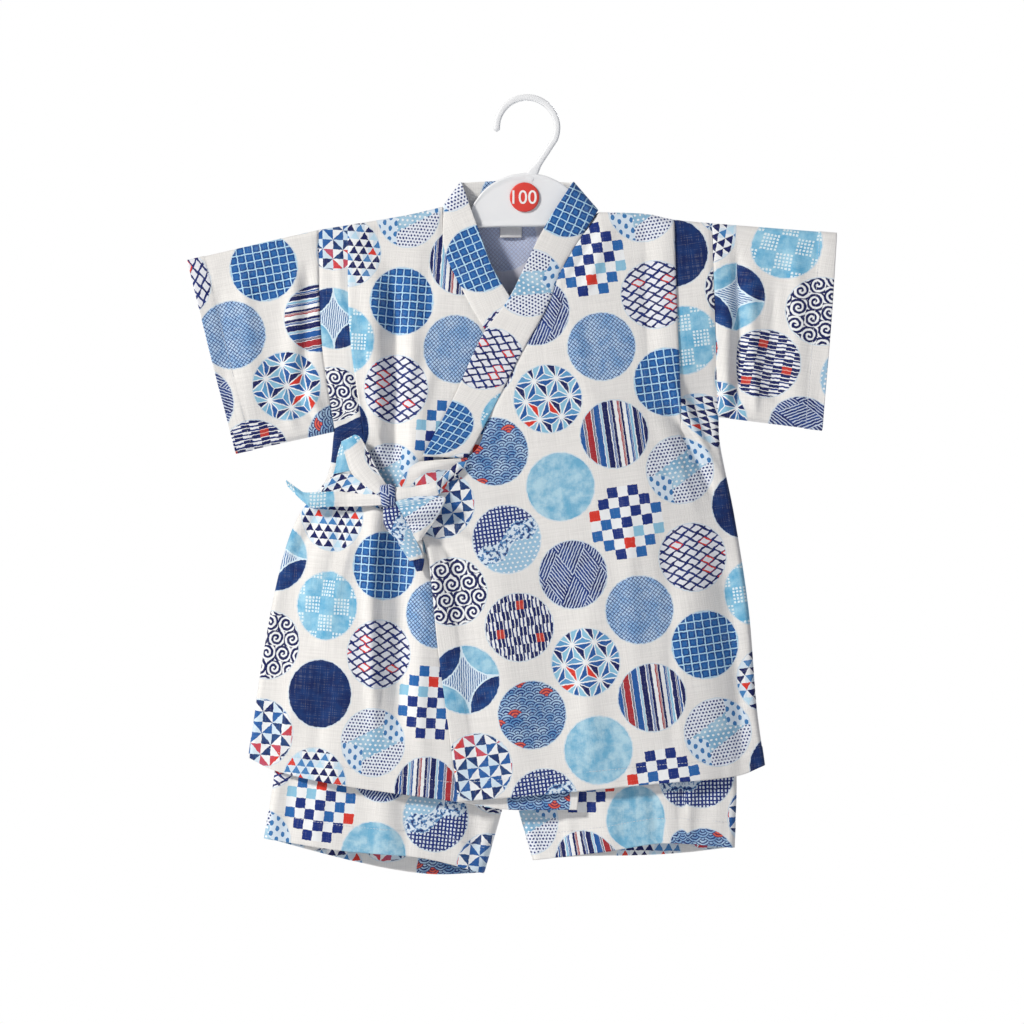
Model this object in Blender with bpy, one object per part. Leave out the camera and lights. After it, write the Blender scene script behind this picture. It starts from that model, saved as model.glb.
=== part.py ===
"""Child's jinbei set, size 100: a wrap top and shorts on a plastic hanger.

Frame: +Z up, the front faces -Y, and the wearer's left is at +X. The origin is the inner top of the
hook, where a rail carries it. Lengths are in millimetres until a mesh is made.

Every cloth piece is a wall. A flat pattern gives its points in X and Z, and the folded garment gives
their depth in Y: nothing along a folded edge, a round fold beside it, and a soft bulge further in.
"""

import math

import bpy

MM = 0.001
CLOTH = 1.2
BAND = 2.0
SEAM_GAP = 0.3
FOLD_RADIUS = 4.0
FOLD_STEPS = (0.54, 2.0, 4.0)

# Bulge of the hanging garment: how far each side swells past its folds, and over what distance.
BODY_BULGE = 12.0
NECK_BULGE = 5.0
SLEEVE_BULGE = 5.0
BULGE_REACH = 70.0
SHORTS_BULGE = 4.5
SHORTS_REACH = 60.0
OVER_LIFT = 2.7

# Levels run from 0 at the shoulder over 4 at the underarm to 10 at the hem. Each row of an edge table
# is level, x, z, and a level given twice is a corner.
ARMHOLE_RIGHT = ((0, -158, -98.5), (2, -156, -175), (4, -146, -251))
ARMHOLE_LEFT = ((0, 140, -93.5), (2, 142, -170), (4, 145, -240))
SIDE_RIGHT = (
    (4, -146, -251),
    (4.9, -152, -287),
    (5.6, -173, -315),
    (6.5, -186, -351),
    (8, -199, -415),
    (10, -211, -498.5),
)
SIDE_LEFT = (
    (4, 145, -240),
    (4.5, 146, -260),
    (5.7, 157, -315),
    (7.3, 168, -387),
    (9, 174, -460),
    (10, 180, -504.5),
)
# Seam and free edge of the under front, and of the over front whose corner the tie pulls across.
UNDER_SEAM = ((0, -64, -81), (0.8, -62, -113), (1.5, -50, -141), (2.3, -32, -173), (3.7, 10, -238))
UNDER_EDGE = ((3.7, 10, -238), (4.6, 36, -275), (5.6, 50, -318), (7.5, 47, -420), (10, 38, -537))
OVER_SEAM = (
    (0, 55, -85),
    (1.1, 28, -124),
    (2, 14, -158),
    (2.9, -4.6, -191.5),
    (4, -29, -240),
    (4.9, -45.6, -271.8),
)
OVER_CORNER = ((5, -81.2, -274.4), (5.6, -100, -299))
OVER_EDGE = ((5.6, -100, -299), (6.4, -77.5, -333.6), (8, -67, -417), (10, -51.7, -530.5))

# Edges that run across: share of the width, x, z.
SHOULDER_RIGHT = ((0, -158, -98.5), (0.7, -92, -87.5), (1, -64, -81))
SHOULDER_LEFT = ((0, 55, -85), (0.42, 91, -86.5), (0.65, 110, -90.5), (1, 140, -93.5))
NECKLINE = ((0, -64, -81), (0.29, -30, -90), (0.5, -5, -92), (0.72, 30, -90.5), (1, 55, -85))
HEM_UNDER = (
    (0, -211, -498.5),
    (0.08, -192, -507.7),
    (0.27, -144, -518),
    (0.64, -52, -531),
    (0.78, -18, -536.6),
    (1, 38, -537),
)
HEM_OVER = (
    (0, -51.7, -530.5),
    (0.28, 14, -525),
    (0.66, 100, -517),
    (0.91, 160, -512),
    (1, 180, -504.5),
)
HEM_BACK = (
    (0, -211, -498.5),
    (0.12, -164, -509),
    (0.4, -55, -520),
    (0.65, 43, -517),
    (0.88, 134, -508),
    (1, 180, -504.5),
)

# Sleeves: the cuff and the folded upper and lower edges.
CUFF_RIGHT = ((0, -257.6, -121.6), (4, -221, -267.5))
CUFF_LEFT = ((0, 235, -101), (4, 224, -250))
RIDGE_RIGHT = ((0, -257.6, -121.6), (0.62, -195, -107), (1, -158, -98.5))
RIDGE_LEFT = ((0, 140, -93.5), (1, 235, -101))
UNDER_RIGHT = ((0, -221, -267.5), (1, -146, -251))
UNDER_LEFT = ((0, 145, -240), (1, 224, -250))
UNDERARM_CLEARANCE = 1.6

# Collar band: free edge of each front band, in the levels of its seam, and the top edge at the back.
UNDER_BAND = (
    (0, -50, -62),
    (0.8, -37, -98),
    (1.5, -26, -128),
    (2.3, -6, -161),
    (3.7, 34, -224),
)
OVER_BAND = (
    (0, 35, -62),
    (1.1, 11, -101),
    (2, -13, -150),
    (2.9, -34, -180),
    (4, -56, -228),
    (4.9, -78.9, -270.6),
)
BAND_TOP = ((0, -50, -62), (0.5, -8, -60), (1, 35, -62))
# Feet of the band's two folds, just clear of the shoulders.
NECK_FOOT_RIGHT = (-62.6, -79.2)
NECK_FOOT_LEFT = (53.4, -83.2)

# Shoulder tuck: distance of its edge from the armhole, level where it ends, depth of the hidden fold.
TUCK_RIGHT = 23.0
TUCK_LEFT = 29.0
TUCK_END = 3.6
TUCK_DEPTH = 11.0
TUCK_FADE = 0.5
TUCK_REACH = 12.0
TUCK_LAYERS = 2 * CLOTH

# Largest folds of the fronts: x, z at the top, x, z at the bottom, height, half width.
FOLDS = (
    (-114, -150, -101, -292, 4.0, 13.0),
    (-108, -306, -94, -470, 3.5, 14.0),
    (-138, -318, -163, -402, 3.0, 12.0),
    (116, -222, 144, -286, 4.0, 12.0),
)

# Shorts: levels run from 0 under the waistband over 8 at the crotch to 10 at the leg hems.
WAIST_TOP = -262.0
WAIST_BOTTOM = -287.0
WAIST_LEFT_X = -127.0
WAIST_RIGHT_X = 103.0
SHORTS_SIDE_RIGHT = ((0, -127, -287.3), (3, -158, -372), (6, -185, -455), (8, -192, -515), (10, -199, -560))
SHORTS_SIDE_LEFT = ((0, 103, -287.3), (3, 134, -372), (6, 153, -455), (8, 158.7, -512), (10, 157, -567))
CENTRE_RIGHT = ((0, -12.65, -287.3), (8, -12.65, -506))
CENTRE_LEFT = ((0, -12.35, -287.3), (8, -12.35, -506))
INSEAM_RIGHT = ((8.04, -13.7, -509), (9, -18.6, -536), (10, -33, -586.5))
INSEAM_LEFT = ((8.04, -11.3, -509), (9, -6.5, -537), (10, 5, -576.5))
WAIST_LINE_RIGHT = ((0, -127, -287.3), (1, -12.65, -287.3))
WAIST_LINE_LEFT = ((0, -12.35, -287.3), (1, 103, -287.3))
LEG_HEM_RIGHT_FRONT = ((0, -199, -560), (0.4, -137, -569), (0.75, -78, -574.5), (1, -33, -586.5))
LEG_HEM_RIGHT_BACK = ((0, -199, -560), (0.4, -130, -579), (0.75, -76, -588), (1, -33, -586.5))
LEG_HEM_LEFT_FRONT = ((0, 5, -576.5), (0.4, 62, -569), (0.68, 104, -563), (1, 157, -567))
LEG_HEM_LEFT_BACK = ((0, 5, -576.5), (0.16, 30, -575), (0.66, 106, -573), (1, 157, -567))

# Hanger: a moulded plate with a hook of flat section, the same on both sides of its middle.
PLATE_HALF = 2.0
PLATE_EDGES = (  # x, z of the upper edge, z of the lower edge
    (0, -54.7, -95.8),
    (15, -57.5, -95.9),
    (30, -65.5, -96.4),
    (40, -77.5, -97.2),
    (47, -90.5, -98.4),
    (62, -92.2, -100.6),
    (75, -93.8, -102.8),
    (110, -97.5, -108.0),
    (135, -102.0, -112.0),
    (147, -105.5, -112.5),
)
HOOK_RADIUS = 20.5
HOOK_BAR = 4.8
HOOK_DEPTH = 4.2
HOOK_TIP_ANGLE = 188.0
HOOK_SHANK_ANGLE = -24.0
HOOK_FOOT = (1.0, -60.0)
HOOK_STEPS = 14
DISC_X = -1.9
DISC_Z = -73.6
DISC_RADIUS = 11.2
DISC_THICK = 0.8
LABEL = (-20.5, -3.8, -93.0, -103.5)
LABEL_THICK = 0.6

# Tie bands: x, z, lift of the band's middle over the cloth, width, tilt out of the cloth in degrees.
TIE_THICK = 1.8
TIE_REACH = -136.0
TIE_BANDS = {
    "tie_root": (
        (-52, -279, 2.4, 8, 0),
        (-66, -291, 3.6, 8, 25),
        (-80, -297, 4.2, 8, 10),
        (-96.5, -299, 4.6, 8, 0),
    ),
    "tie_loop_upper": (
        (-113, -290.5, 7.4, 8, 0),
        (-119, -280.5, 8.4, 12, 5),
        (-126, -268.5, 8.6, 12, 45),
        (-131, -261, 8.0, 10, 85),
        (-139.5, -262, 7.6, 9, 90),
        (-149, -272, 7.2, 9, 80),
        (-154.5, -280.5, 6.8, 9, 80),
        (-147, -286.5, 6.0, 8, 70),
        (-130, -288.5, 5.4, 7, 60),
        (-115, -293, 3.6, 5, 0),
    ),
    "tie_tail_left": (
        (-112, -303, 3.2, 9, 0),
        (-128, -303, 3.6, 11, 0),
        (-150, -303, 3.8, 11, 0),
        (-164, -301, 3.8, 11, 0),
        (-174, -294, 3.2, 7, 0),
        (-182, -289, 2.8, 2, 0),
    ),
    "tie_loop_lower": (
        (-83, -306, 6.9, 24, 0),
        (-81, -316, 7.2, 17, 0),
        (-80, -326, 6.6, 10, 0),
        (-80, -333, 5.8, 4, 0),
    ),
    "tie_tail_lower": (
        (-96.5, -311.5, 3.2, 11, 0),
        (-88, -324, 3.4, 13, 0),
        (-81, -337, 3.4, 12, 0),
        (-79, -348, 3.0, 9, 0),
        (-80, -358, 2.8, 5, 0),
    ),
}
KNOT = (-105.5, -300.5)
KNOT_SIZE = (13.0, 9.0, 17.0)
KNOT_LIFT = 6.4

COLOURS = {  # colour, roughness
    "cotton_print": ((0.80, 0.80, 0.80), 0.9),
    "cotton_blue": ((0.25, 0.42, 0.66), 0.9),
    "plastic_white": ((0.88, 0.89, 0.90), 0.35),
    "size_red": ((0.80, 0.16, 0.14), 0.45),
    "label_white": ((0.90, 0.90, 0.90), 0.8),
}


def smoothstep(t):
    t = min(max(t, 0.0), 1.0)
    return t * t * (3 - 2 * t)


def run_of(edge, level):
    """The rows of an edge between the two corners around a level."""
    start = 0
    for i in range(1, len(edge)):
        if edge[i][0] != edge[i - 1][0]:
            continue
        if level < edge[i][0] - 1e-9:
            return edge[start:i]
        start = i
    return edge[start:]


def at(edge, level):
    """The point of an edge at a level, on a smooth curve through its rows."""
    rows = run_of(edge, level)
    k = 0
    while k < len(rows) - 2 and level > rows[k + 1][0]:
        k += 1
    a, b = rows[k], rows[k + 1]
    before = rows[max(k - 1, 0)]
    after = rows[min(k + 2, len(rows) - 1)]
    h = b[0] - a[0]
    t = (level - a[0]) / h
    point = []
    for axis in (1, 2):
        slope_a = (b[axis] - before[axis]) / (b[0] - before[0])
        slope_b = (after[axis] - a[axis]) / (after[0] - a[0])
        point.append(
            (1 + 2 * t) * (1 - t) ** 2 * a[axis]
            + t * (1 - t) ** 2 * h * slope_a
            + t * t * (3 - 2 * t) * b[axis]
            + t * t * (t - 1) * h * slope_b
        )
    return tuple(point)


def polyline(*edges, steps=6):
    """Points along edges laid end to end, close enough to count as their curve."""
    points = []
    for edge in edges:
        for a, b in zip(edge, edge[1:]):
            points += [at(edge, a[0] + (b[0] - a[0]) * i / steps) for i in range(steps + 1) if b[0] != a[0]]
    return points


def reverse(points):
    return list(reversed(points))


# Folded edges, walked so that the cloth lies on the left of the way.
TOP_FOLDS = (
    reverse(polyline(SHOULDER_LEFT, RIDGE_LEFT)) + [(35, -62)],
    [(-50, -62)] + reverse(polyline(RIDGE_RIGHT, SHOULDER_RIGHT)),
    polyline(UNDER_RIGHT, SIDE_RIGHT),
    reverse(polyline(SIDE_LEFT)) + polyline(UNDER_LEFT),
)
SHORTS_FOLDS = (
    [(WAIST_LEFT_X, WAIST_TOP + 4)] + polyline(SHORTS_SIDE_RIGHT),
    reverse(polyline(SHORTS_SIDE_LEFT)) + [(WAIST_RIGHT_X, WAIST_TOP + 4)],
    reverse(polyline(INSEAM_RIGHT)),
    polyline(INSEAM_LEFT),
)
ON_FOLD = 0.06


def from_fold(folds, x, z):
    """Distance to the nearest folded edge, and the direction away from it."""
    best = (math.inf, 0.0, 0.0)
    for line in folds:
        for (ax, az), (bx, bz) in zip(line, line[1:]):
            dx, dz = bx - ax, bz - az
            size = dx * dx + dz * dz
            if size == 0:
                continue
            t = min(max(((x - ax) * dx + (z - az) * dz) / size, 0.0), 1.0)
            px, pz = x - ax - t * dx, z - az - t * dz
            gap = math.hypot(px, pz)
            if gap >= best[0]:
                continue
            if gap > 4 * ON_FOLD:
                best = (gap, px / gap, pz / gap)
            else:
                length = math.sqrt(size)
                best = (gap, -dz / length, dx / length)
    return (max(best[0] - ON_FOLD, 0.0), best[1], best[2])


def swell(reach_from_fold, bulge, reach):
    """Half depth of the folded cloth and its slope, a distance in from the fold."""
    e = max(reach_from_fold, 0.001)
    depth, slope = FOLD_RADIUS, 0.0
    if e < FOLD_RADIUS:
        depth = math.sqrt(e * (2 * FOLD_RADIUS - e))
        slope = (FOLD_RADIUS - e) / depth
    t = min(e / reach, 1.0)
    return depth + bulge * smoothstep(t), slope + bulge * 6 * t * (1 - t) / reach


def top_bulge(x, z):
    """The bulge of the top is least at the neck and in the sleeves."""
    body = NECK_BULGE + (BODY_BULGE - NECK_BULGE) * smoothstep((-90 - z) / 160)
    in_sleeve = smoothstep((abs(x + 9) - 120) / 60) * smoothstep((z + 330) / 70)
    return body + (SLEEVE_BULGE - body) * in_sleeve


def top_depth(x, z):
    e, away_x, away_z = from_fold(TOP_FOLDS, x, z)
    depth, slope = swell(e, top_bulge(x, z), BULGE_REACH)
    return depth, (slope * away_x, slope * away_z), e


def shorts_depth(x, z):
    e, away_x, away_z = from_fold(SHORTS_FOLDS, x, z)
    depth, slope = swell(e, SHORTS_BULGE, SHORTS_REACH)
    return depth, (slope * away_x, slope * away_z), e


def over_lift(x, e):
    """How far the over front stands off the under front: not at all along folds and the armhole."""
    return OVER_LIFT * smoothstep(e / 15) * smoothstep((104 - x) / 55)


def fold_relief(x, z):
    """Height of the largest folds of the fronts at a point."""
    height = 0.0
    for ax, az, bx, bz, rise, half in FOLDS:
        dx, dz = bx - ax, bz - az
        t = ((x - ax) * dx + (z - az) * dz) / (dx * dx + dz * dz)
        if not 0 < t < 1:
            continue
        across = math.hypot(x - ax - t * dx, z - az - t * dz)
        height += rise * math.sin(math.pi * t) * smoothstep(1 - across / half)
    return height


def front(x, z, over=0.0, relief=False):
    """A point of the front side and its outward direction."""
    depth, (sx, sz), e = top_depth(x, z)
    depth += over * over_lift(x, e)
    if relief:
        depth += fold_relief(x, z) * smoothstep(e / 12)
    return (x, -depth - SEAM_GAP / 2, z), unit(-sx, -1, -sz)


def back(x, z):
    depth, (sx, sz), _ = top_depth(x, z)
    return (x, depth + SEAM_GAP / 2, z), unit(-sx, 1, -sz)


def unit(x, y, z):
    size = math.sqrt(x * x + y * y + z * z)
    return (x / size, y / size, z / size)


def patch(top, bottom, left, right, columns, levels):
    """Rows of (x, z) from the left edge to the right one, bent as the top and bottom edges are."""
    first, last = left[0][0], left[-1][0]
    grid = []
    for level in levels:
        v = (level - first) / (last - first)
        a, b = at(left, level), at(right, level)
        row = []
        for share, offset in columns:
            u = share + offset / math.dist(a, b)
            row.append(tuple(
                (1 - u) * a[i] + u * b[i] + (1 - v) * sag(top, u)[i] + v * sag(bottom, u)[i]
                for i in (0, 1)
            ))
        grid.append(row)
    return grid


def sag(edge, u):
    """How far an edge lies from the straight line between its ends."""
    p, a, b = at(edge, u), edge[0], edge[-1]
    return (p[0] - (1 - u) * a[1] - u * b[1], p[1] - (1 - u) * a[2] - u * b[2])


def columns_between(count, start=(0.0,), end=(0.0,)):
    """Column places as (share, offset): the given offsets from each side, and even ones between."""
    inner = [(i / count, (1 - i / count) * start[-1] - i / count * end[-1]) for i in range(1, count)]
    return [(0.0, s) for s in start] + inner + [(1.0, -s) for s in reversed(end)]


def transpose(grid):
    return [list(row) for row in zip(*grid)]


def round_rows(grid, at_start=True, at_end=False):
    """Adds the rows that make the fold beside the first or the last row round."""
    rows = list(grid)
    if at_end:
        rows = round_rows(rows[::-1])[::-1]
    if not at_start:
        return rows
    extra = []
    for step in FOLD_STEPS:
        row = []
        for p, q in zip(rows[0], rows[1]):
            t = step / math.dist(p, q)
            row.append((p[0] + t * (q[0] - p[0]), p[1] + t * (q[1] - p[1])))
        extra.append(row)
    return rows[:1] + extra + rows[1:]


def round_columns(grid, at_start=True, at_end=False):
    return transpose(round_rows(transpose(grid), at_start, at_end))


def mesh_object(name, vertices, faces, finish):
    mesh = bpy.data.meshes.new(name)
    mesh.from_pydata([tuple(c * MM for c in v) for v in vertices], [], faces)
    mesh.materials.append(materials[finish])
    mesh.validate()
    obj = bpy.data.objects.new(name, mesh)
    bpy.context.scene.collection.objects.link(obj)
    mesh.shade_smooth()
    mesh.set_sharp_from_angle(angle=math.radians(40))
    return obj


def wall(name, sheet, thickness, finish, ring=False):
    """A closed wall around a sheet: rows of (point, outward direction, extra thickness outside).

    The rows of a ring join up end to end. Seen from outside, columns run to the right and rows down.
    """
    rows, count = len(sheet), len(sheet[0])
    vertices = []
    for side in (1, -1):
        for row in sheet:
            for point, out, extra in row:
                reach = thickness / 2 + (extra if side > 0 else 0.0)
                vertices.append(tuple(p + side * reach * o for p, o in zip(point, out)))
    inner = rows * count
    faces = []
    spans = count if ring else count - 1
    for r in range(rows - 1):
        for c in range(spans):
            a, b = r * count + c, r * count + (c + 1) % count
            faces.append((a, a + count, b + count, b))
            faces.append((inner + a, inner + b, inner + b + count, inner + a + count))
    last = (rows - 1) * count
    rims = [[c % count for c in range(spans + 1)], [last + c % count for c in range(spans, -1, -1)]]
    if not ring:
        rims += [[r * count for r in range(rows - 1, -1, -1)], [r * count + count - 1 for r in range(rows)]]
    for rim in rims:
        faces += [(a, b, b + inner, a + inner) for a, b in zip(rim, rim[1:])]
    return mesh_object(name, vertices, faces, finish)


def tuck_layers(distance, edge, level):
    """Extra thickness that a shoulder tuck lays on a panel, by distance from the armhole and by level."""
    if distance < edge - 0.01:
        return 0.0
    fade = 1 - smoothstep((level - TUCK_END) / TUCK_FADE)
    return TUCK_LAYERS * fade * (1 - smoothstep((distance - edge) / (2 * TUCK_DEPTH)))


def placed(grid, place, extras=None):
    """The sheet of a grid: each (x, z) with its place in depth and its extra thickness."""
    return [
        [place(x, z) + ((extras[r][c] if extras else 0.0),) for c, (x, z) in enumerate(row)]
        for r, row in enumerate(grid)
    ]


BODY_LEVELS = (0, 0.6, 1.1, 1.6, 2.2, 2.9, 3.4, 3.6, 4, 4.45, 4.9, 5, 5.6, 6.2, 7, 7.8, 8.6, 9.4, 10)
EDGE_STEP = 0.3


def tucks_on(grid, left=None, right=None):
    """Extra thickness of every grid point under a tuck beside the left or the right edge."""
    # The rows added at the shoulder fold all count as level 0.
    levels = (0.0,) * (len(grid) - len(BODY_LEVELS)) + BODY_LEVELS
    table = []
    for row, level in zip(grid, levels):
        values = []
        for point in row:
            value = tuck_layers(math.dist(point, row[0]), left, level) if left else 0.0
            if right:
                value += tuck_layers(math.dist(point, row[-1]), right, level)
            values.append(value)
        table.append(values)
    return table


def make_front_right():
    beside_tuck = (0.0, 10.0, TUCK_RIGHT - EDGE_STEP, TUCK_RIGHT, TUCK_RIGHT + TUCK_REACH)
    columns = columns_between(8, beside_tuck, (0.0, 10.0))
    left, right = ARMHOLE_RIGHT + SIDE_RIGHT, UNDER_SEAM + UNDER_EDGE
    grid = patch(SHOULDER_RIGHT, HEM_UNDER, left, right, columns, BODY_LEVELS)
    grid = round_columns(round_rows(grid))
    sheet = placed(grid, lambda x, z: front(x, z, relief=True), tucks_on(grid, left=TUCK_RIGHT))
    wall("front_right", sheet, CLOTH, "cotton_print")


def make_front_left():
    beside_tuck = (0.0, 10.0, TUCK_LEFT - EDGE_STEP, TUCK_LEFT, TUCK_LEFT + TUCK_REACH)
    columns = columns_between(8, (0.0, 8.0), beside_tuck)
    left = OVER_SEAM + OVER_CORNER + OVER_EDGE
    grid = patch(SHOULDER_LEFT, HEM_OVER, left, ARMHOLE_LEFT + SIDE_LEFT, columns, BODY_LEVELS)
    grid = round_columns(round_rows(grid), at_start=False, at_end=True)
    sheet = placed(grid, lambda x, z: front(x, z, over=1.0, relief=True), tucks_on(grid, right=TUCK_LEFT))
    wall("front_left", sheet, CLOTH, "cotton_print")


def make_back():
    outer = SHOULDER_RIGHT[0][1]
    width = SHOULDER_LEFT[-1][1] - outer
    neck = ((SHOULDER_RIGHT[-1][1] - outer) / width, (SHOULDER_LEFT[0][1] - outer) / width)
    top = [(u * neck[0], x, z) for u, x, z in SHOULDER_RIGHT]
    top += [(neck[0] + u * (neck[1] - neck[0]), x, z) for u, x, z in NECKLINE]
    top += [(neck[1] + u * (1 - neck[1]), x, z) for u, x, z in SHOULDER_LEFT]
    columns = [(0.0, x) for x in (0.0, 10.0, TUCK_RIGHT - EDGE_STEP, TUCK_RIGHT, TUCK_RIGHT + TUCK_REACH)]
    columns += [(share, 0.0) for share in (0.23, neck[0], 0.42, 0.52, 0.62, neck[1], 0.8)]
    columns += [(1.0, -x) for x in (TUCK_LEFT + TUCK_REACH, TUCK_LEFT, TUCK_LEFT - EDGE_STEP, 10.0, 0.0)]
    left = ARMHOLE_RIGHT + SIDE_RIGHT
    grid = patch(top, HEM_BACK, left, ARMHOLE_LEFT + SIDE_LEFT, columns, BODY_LEVELS)
    grid = round_columns(round_rows(grid), at_end=True)
    sheet = placed(grid, back, tucks_on(grid, left=TUCK_RIGHT, right=TUCK_LEFT))
    wall("back", [row[::-1] for row in sheet], CLOTH, "cotton_print")


def tube(front_rows, half_depth):
    """Rings around a folded tube: each row of (x, z) runs from one fold to the other and back behind."""
    sheet = []
    for row in front_rows:
        ring = []
        for side, points in ((-1, row), (1, row[-2:0:-1])):
            for i, (x, z) in enumerate(points):
                depth, (sx, sz), _ = half_depth(x, z)
                on_fold = side < 0 and i in (0, len(row) - 1)
                y = 0.0 if on_fold else side * depth
                out = unit(-sx, 0 if on_fold else side, -sz)
                ring.append(((x, y, z), out, 0.0))
        sheet.append(ring)
    return sheet


def make_sleeves():
    levels = (0, 0.8, 1.6, 2.4, 3.2, 4)
    clear_right = ARMHOLE_RIGHT[:-1] + ((4, -146 - UNDERARM_CLEARANCE, -251.4),)
    columns = columns_between(4, (0.0,), (SEAM_GAP,))
    grid = patch(RIDGE_RIGHT, UNDER_RIGHT, CUFF_RIGHT, clear_right, columns, levels)
    rings = [row[::-1] for row in transpose(round_rows(grid, at_end=True))]
    wall("sleeve_right", tube(rings, top_depth), CLOTH, "cotton_print", ring=True)
    clear_left = ARMHOLE_LEFT[:-1] + ((4, 145 + UNDERARM_CLEARANCE, -240.2),)
    columns = columns_between(4, (SEAM_GAP,), (0.0,))
    grid = patch(RIDGE_LEFT, UNDER_LEFT, clear_left, CUFF_LEFT, columns, levels)
    rings = [row[::-1] for row in transpose(round_rows(grid, at_end=True))]
    wall("sleeve_left", tube(rings, top_depth), CLOTH, "cotton_print", ring=True)


def make_collar():
    """A doubled band: one stretch on each front, and one behind the neck between the two folds."""
    inset = SEAM_GAP + 0.5
    levels = (0, 0.3, 0.7, 1.1, 1.5, 1.9, 2.3, 2.7, 3.1, 3.5, 3.7)
    columns = [(0.0, inset), (0.35, 0), (0.7, 0), (1.0, 0.0)]
    fold = ((0, *NECK_FOOT_RIGHT), (1, -50, -62))
    end = ((0, 10, -238), (1, 34, -224))
    seam = ((0, *NECK_FOOT_RIGHT),) + UNDER_SEAM[1:]
    grid = round_rows(patch(fold, end, seam, UNDER_BAND, columns, levels))
    wall("collar_right", placed(grid, front), BAND, "cotton_print")
    levels = (0, 0.3, 0.7, 1.1, 1.6, 2.1, 2.6, 3.1, 3.6, 4, 4.45, 4.88)
    columns = [(0.0, 0.0), (0.35, 0), (0.7, 0), (1.0, -inset)]
    fold = ((0, 35, -62), (1, *NECK_FOOT_LEFT))
    end = ((0, -78.9, -270.6), (1, -45.6, -271.8))
    seam = ((0, *NECK_FOOT_LEFT),) + OVER_SEAM[1:]
    grid = round_rows(patch(fold, end, OVER_BAND, seam, columns, levels))
    wall("collar_left", placed(grid, lambda x, z: front(x, z, over=1.0)), BAND, "cotton_print")
    fold_right = ((0, -50, -62), (1, *NECK_FOOT_RIGHT))
    fold_left = ((0, 35, -62), (1, *NECK_FOOT_LEFT))
    grid = patch(BAND_TOP, NECKLINE, fold_right, fold_left, columns_between(8), (0, 0.35, 0.7, 1))
    grid[-1] = [(x, z + 2 * SEAM_GAP) for x, z in grid[-1]]
    grid = round_columns(grid, at_end=True)
    wall("collar_back", [row[::-1] for row in placed(grid, back)], BAND, "cotton_print")


def make_label():
    x0, x1, z0, z1 = LABEL
    sheet = []
    for z in (z0, (z0 + z1) / 2, z1):
        row = []
        for x in (x1, (x0 + x1) / 2, x0):
            (px, py, pz), out = back(x, z)
            row.append(((px, py - CLOTH / 2 - LABEL_THICK / 2 - 1.2, pz), out, 0.0))
        sheet.append(row)
    wall("label", sheet, LABEL_THICK, "label_white")


LEG_LEVELS = (0, 1.2, 2.4, 3.6, 4.8, 6, 7, 8)
LEG_LEVELS_BELOW = (8.04, 8.5, 9, 9.5, 10)


def leg_grid(waist, hem, outer, centre, inseam, outer_first):
    """One side of a shorts leg, flat: its inner edge is the centre seam, then the inseam."""
    inner = centre + inseam
    left, right = (outer, inner) if outer_first else (inner, outer)
    grid = patch(waist, hem, left, right, columns_between(7), LEG_LEVELS + LEG_LEVELS_BELOW)
    return round_columns(grid, at_start=outer_first, at_end=not outer_first)


def leg(name, front_grid, back_grid, outer_first):
    """A leg wraps from the inner edge of its front round the side fold to the inner edge of its back."""
    sheet = []
    for front_row, back_row in zip(front_grid, back_grid):
        if outer_first:
            front_row, back_row = front_row[::-1], back_row[::-1]
        row = []
        for side, points in ((-1, front_row), (1, back_row[-2::-1])):
            for i, (x, z) in enumerate(points):
                depth, (sx, sz), _ = shorts_depth(x, z)
                on_fold = side < 0 and i == len(points) - 1
                y = 0.0 if on_fold else side * (depth + SEAM_GAP / 2)
                row.append(((x, y, z), unit(-sx, 0 if on_fold else side, -sz), 0.0))
        sheet.append(row if not outer_first else row[::-1])
    wall(name, sheet, CLOTH, "cotton_print")


def make_shorts():
    right = (SHORTS_SIDE_RIGHT, CENTRE_RIGHT, INSEAM_RIGHT, True)
    left = (SHORTS_SIDE_LEFT, CENTRE_LEFT, INSEAM_LEFT, False)
    leg(
        "shorts_leg_right",
        leg_grid(WAIST_LINE_RIGHT, LEG_HEM_RIGHT_FRONT, *right),
        leg_grid(WAIST_LINE_RIGHT, LEG_HEM_RIGHT_BACK, *right),
        True,
    )
    leg(
        "shorts_leg_left",
        leg_grid(WAIST_LINE_LEFT, LEG_HEM_LEFT_FRONT, *left),
        leg_grid(WAIST_LINE_LEFT, LEG_HEM_LEFT_BACK, *left),
        False,
    )
    width = WAIST_RIGHT_X - WAIST_LEFT_X
    rows = []
    for z in (WAIST_TOP, (WAIST_TOP + WAIST_BOTTOM) / 2, WAIST_BOTTOM):
        rows.append([(WAIST_LEFT_X + width * i / 8, z) for i in range(9)])
    rows = round_columns(rows, at_end=True)
    wall("shorts_waistband", tube(rows, shorts_depth), BAND, "cotton_print", ring=True)


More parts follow.
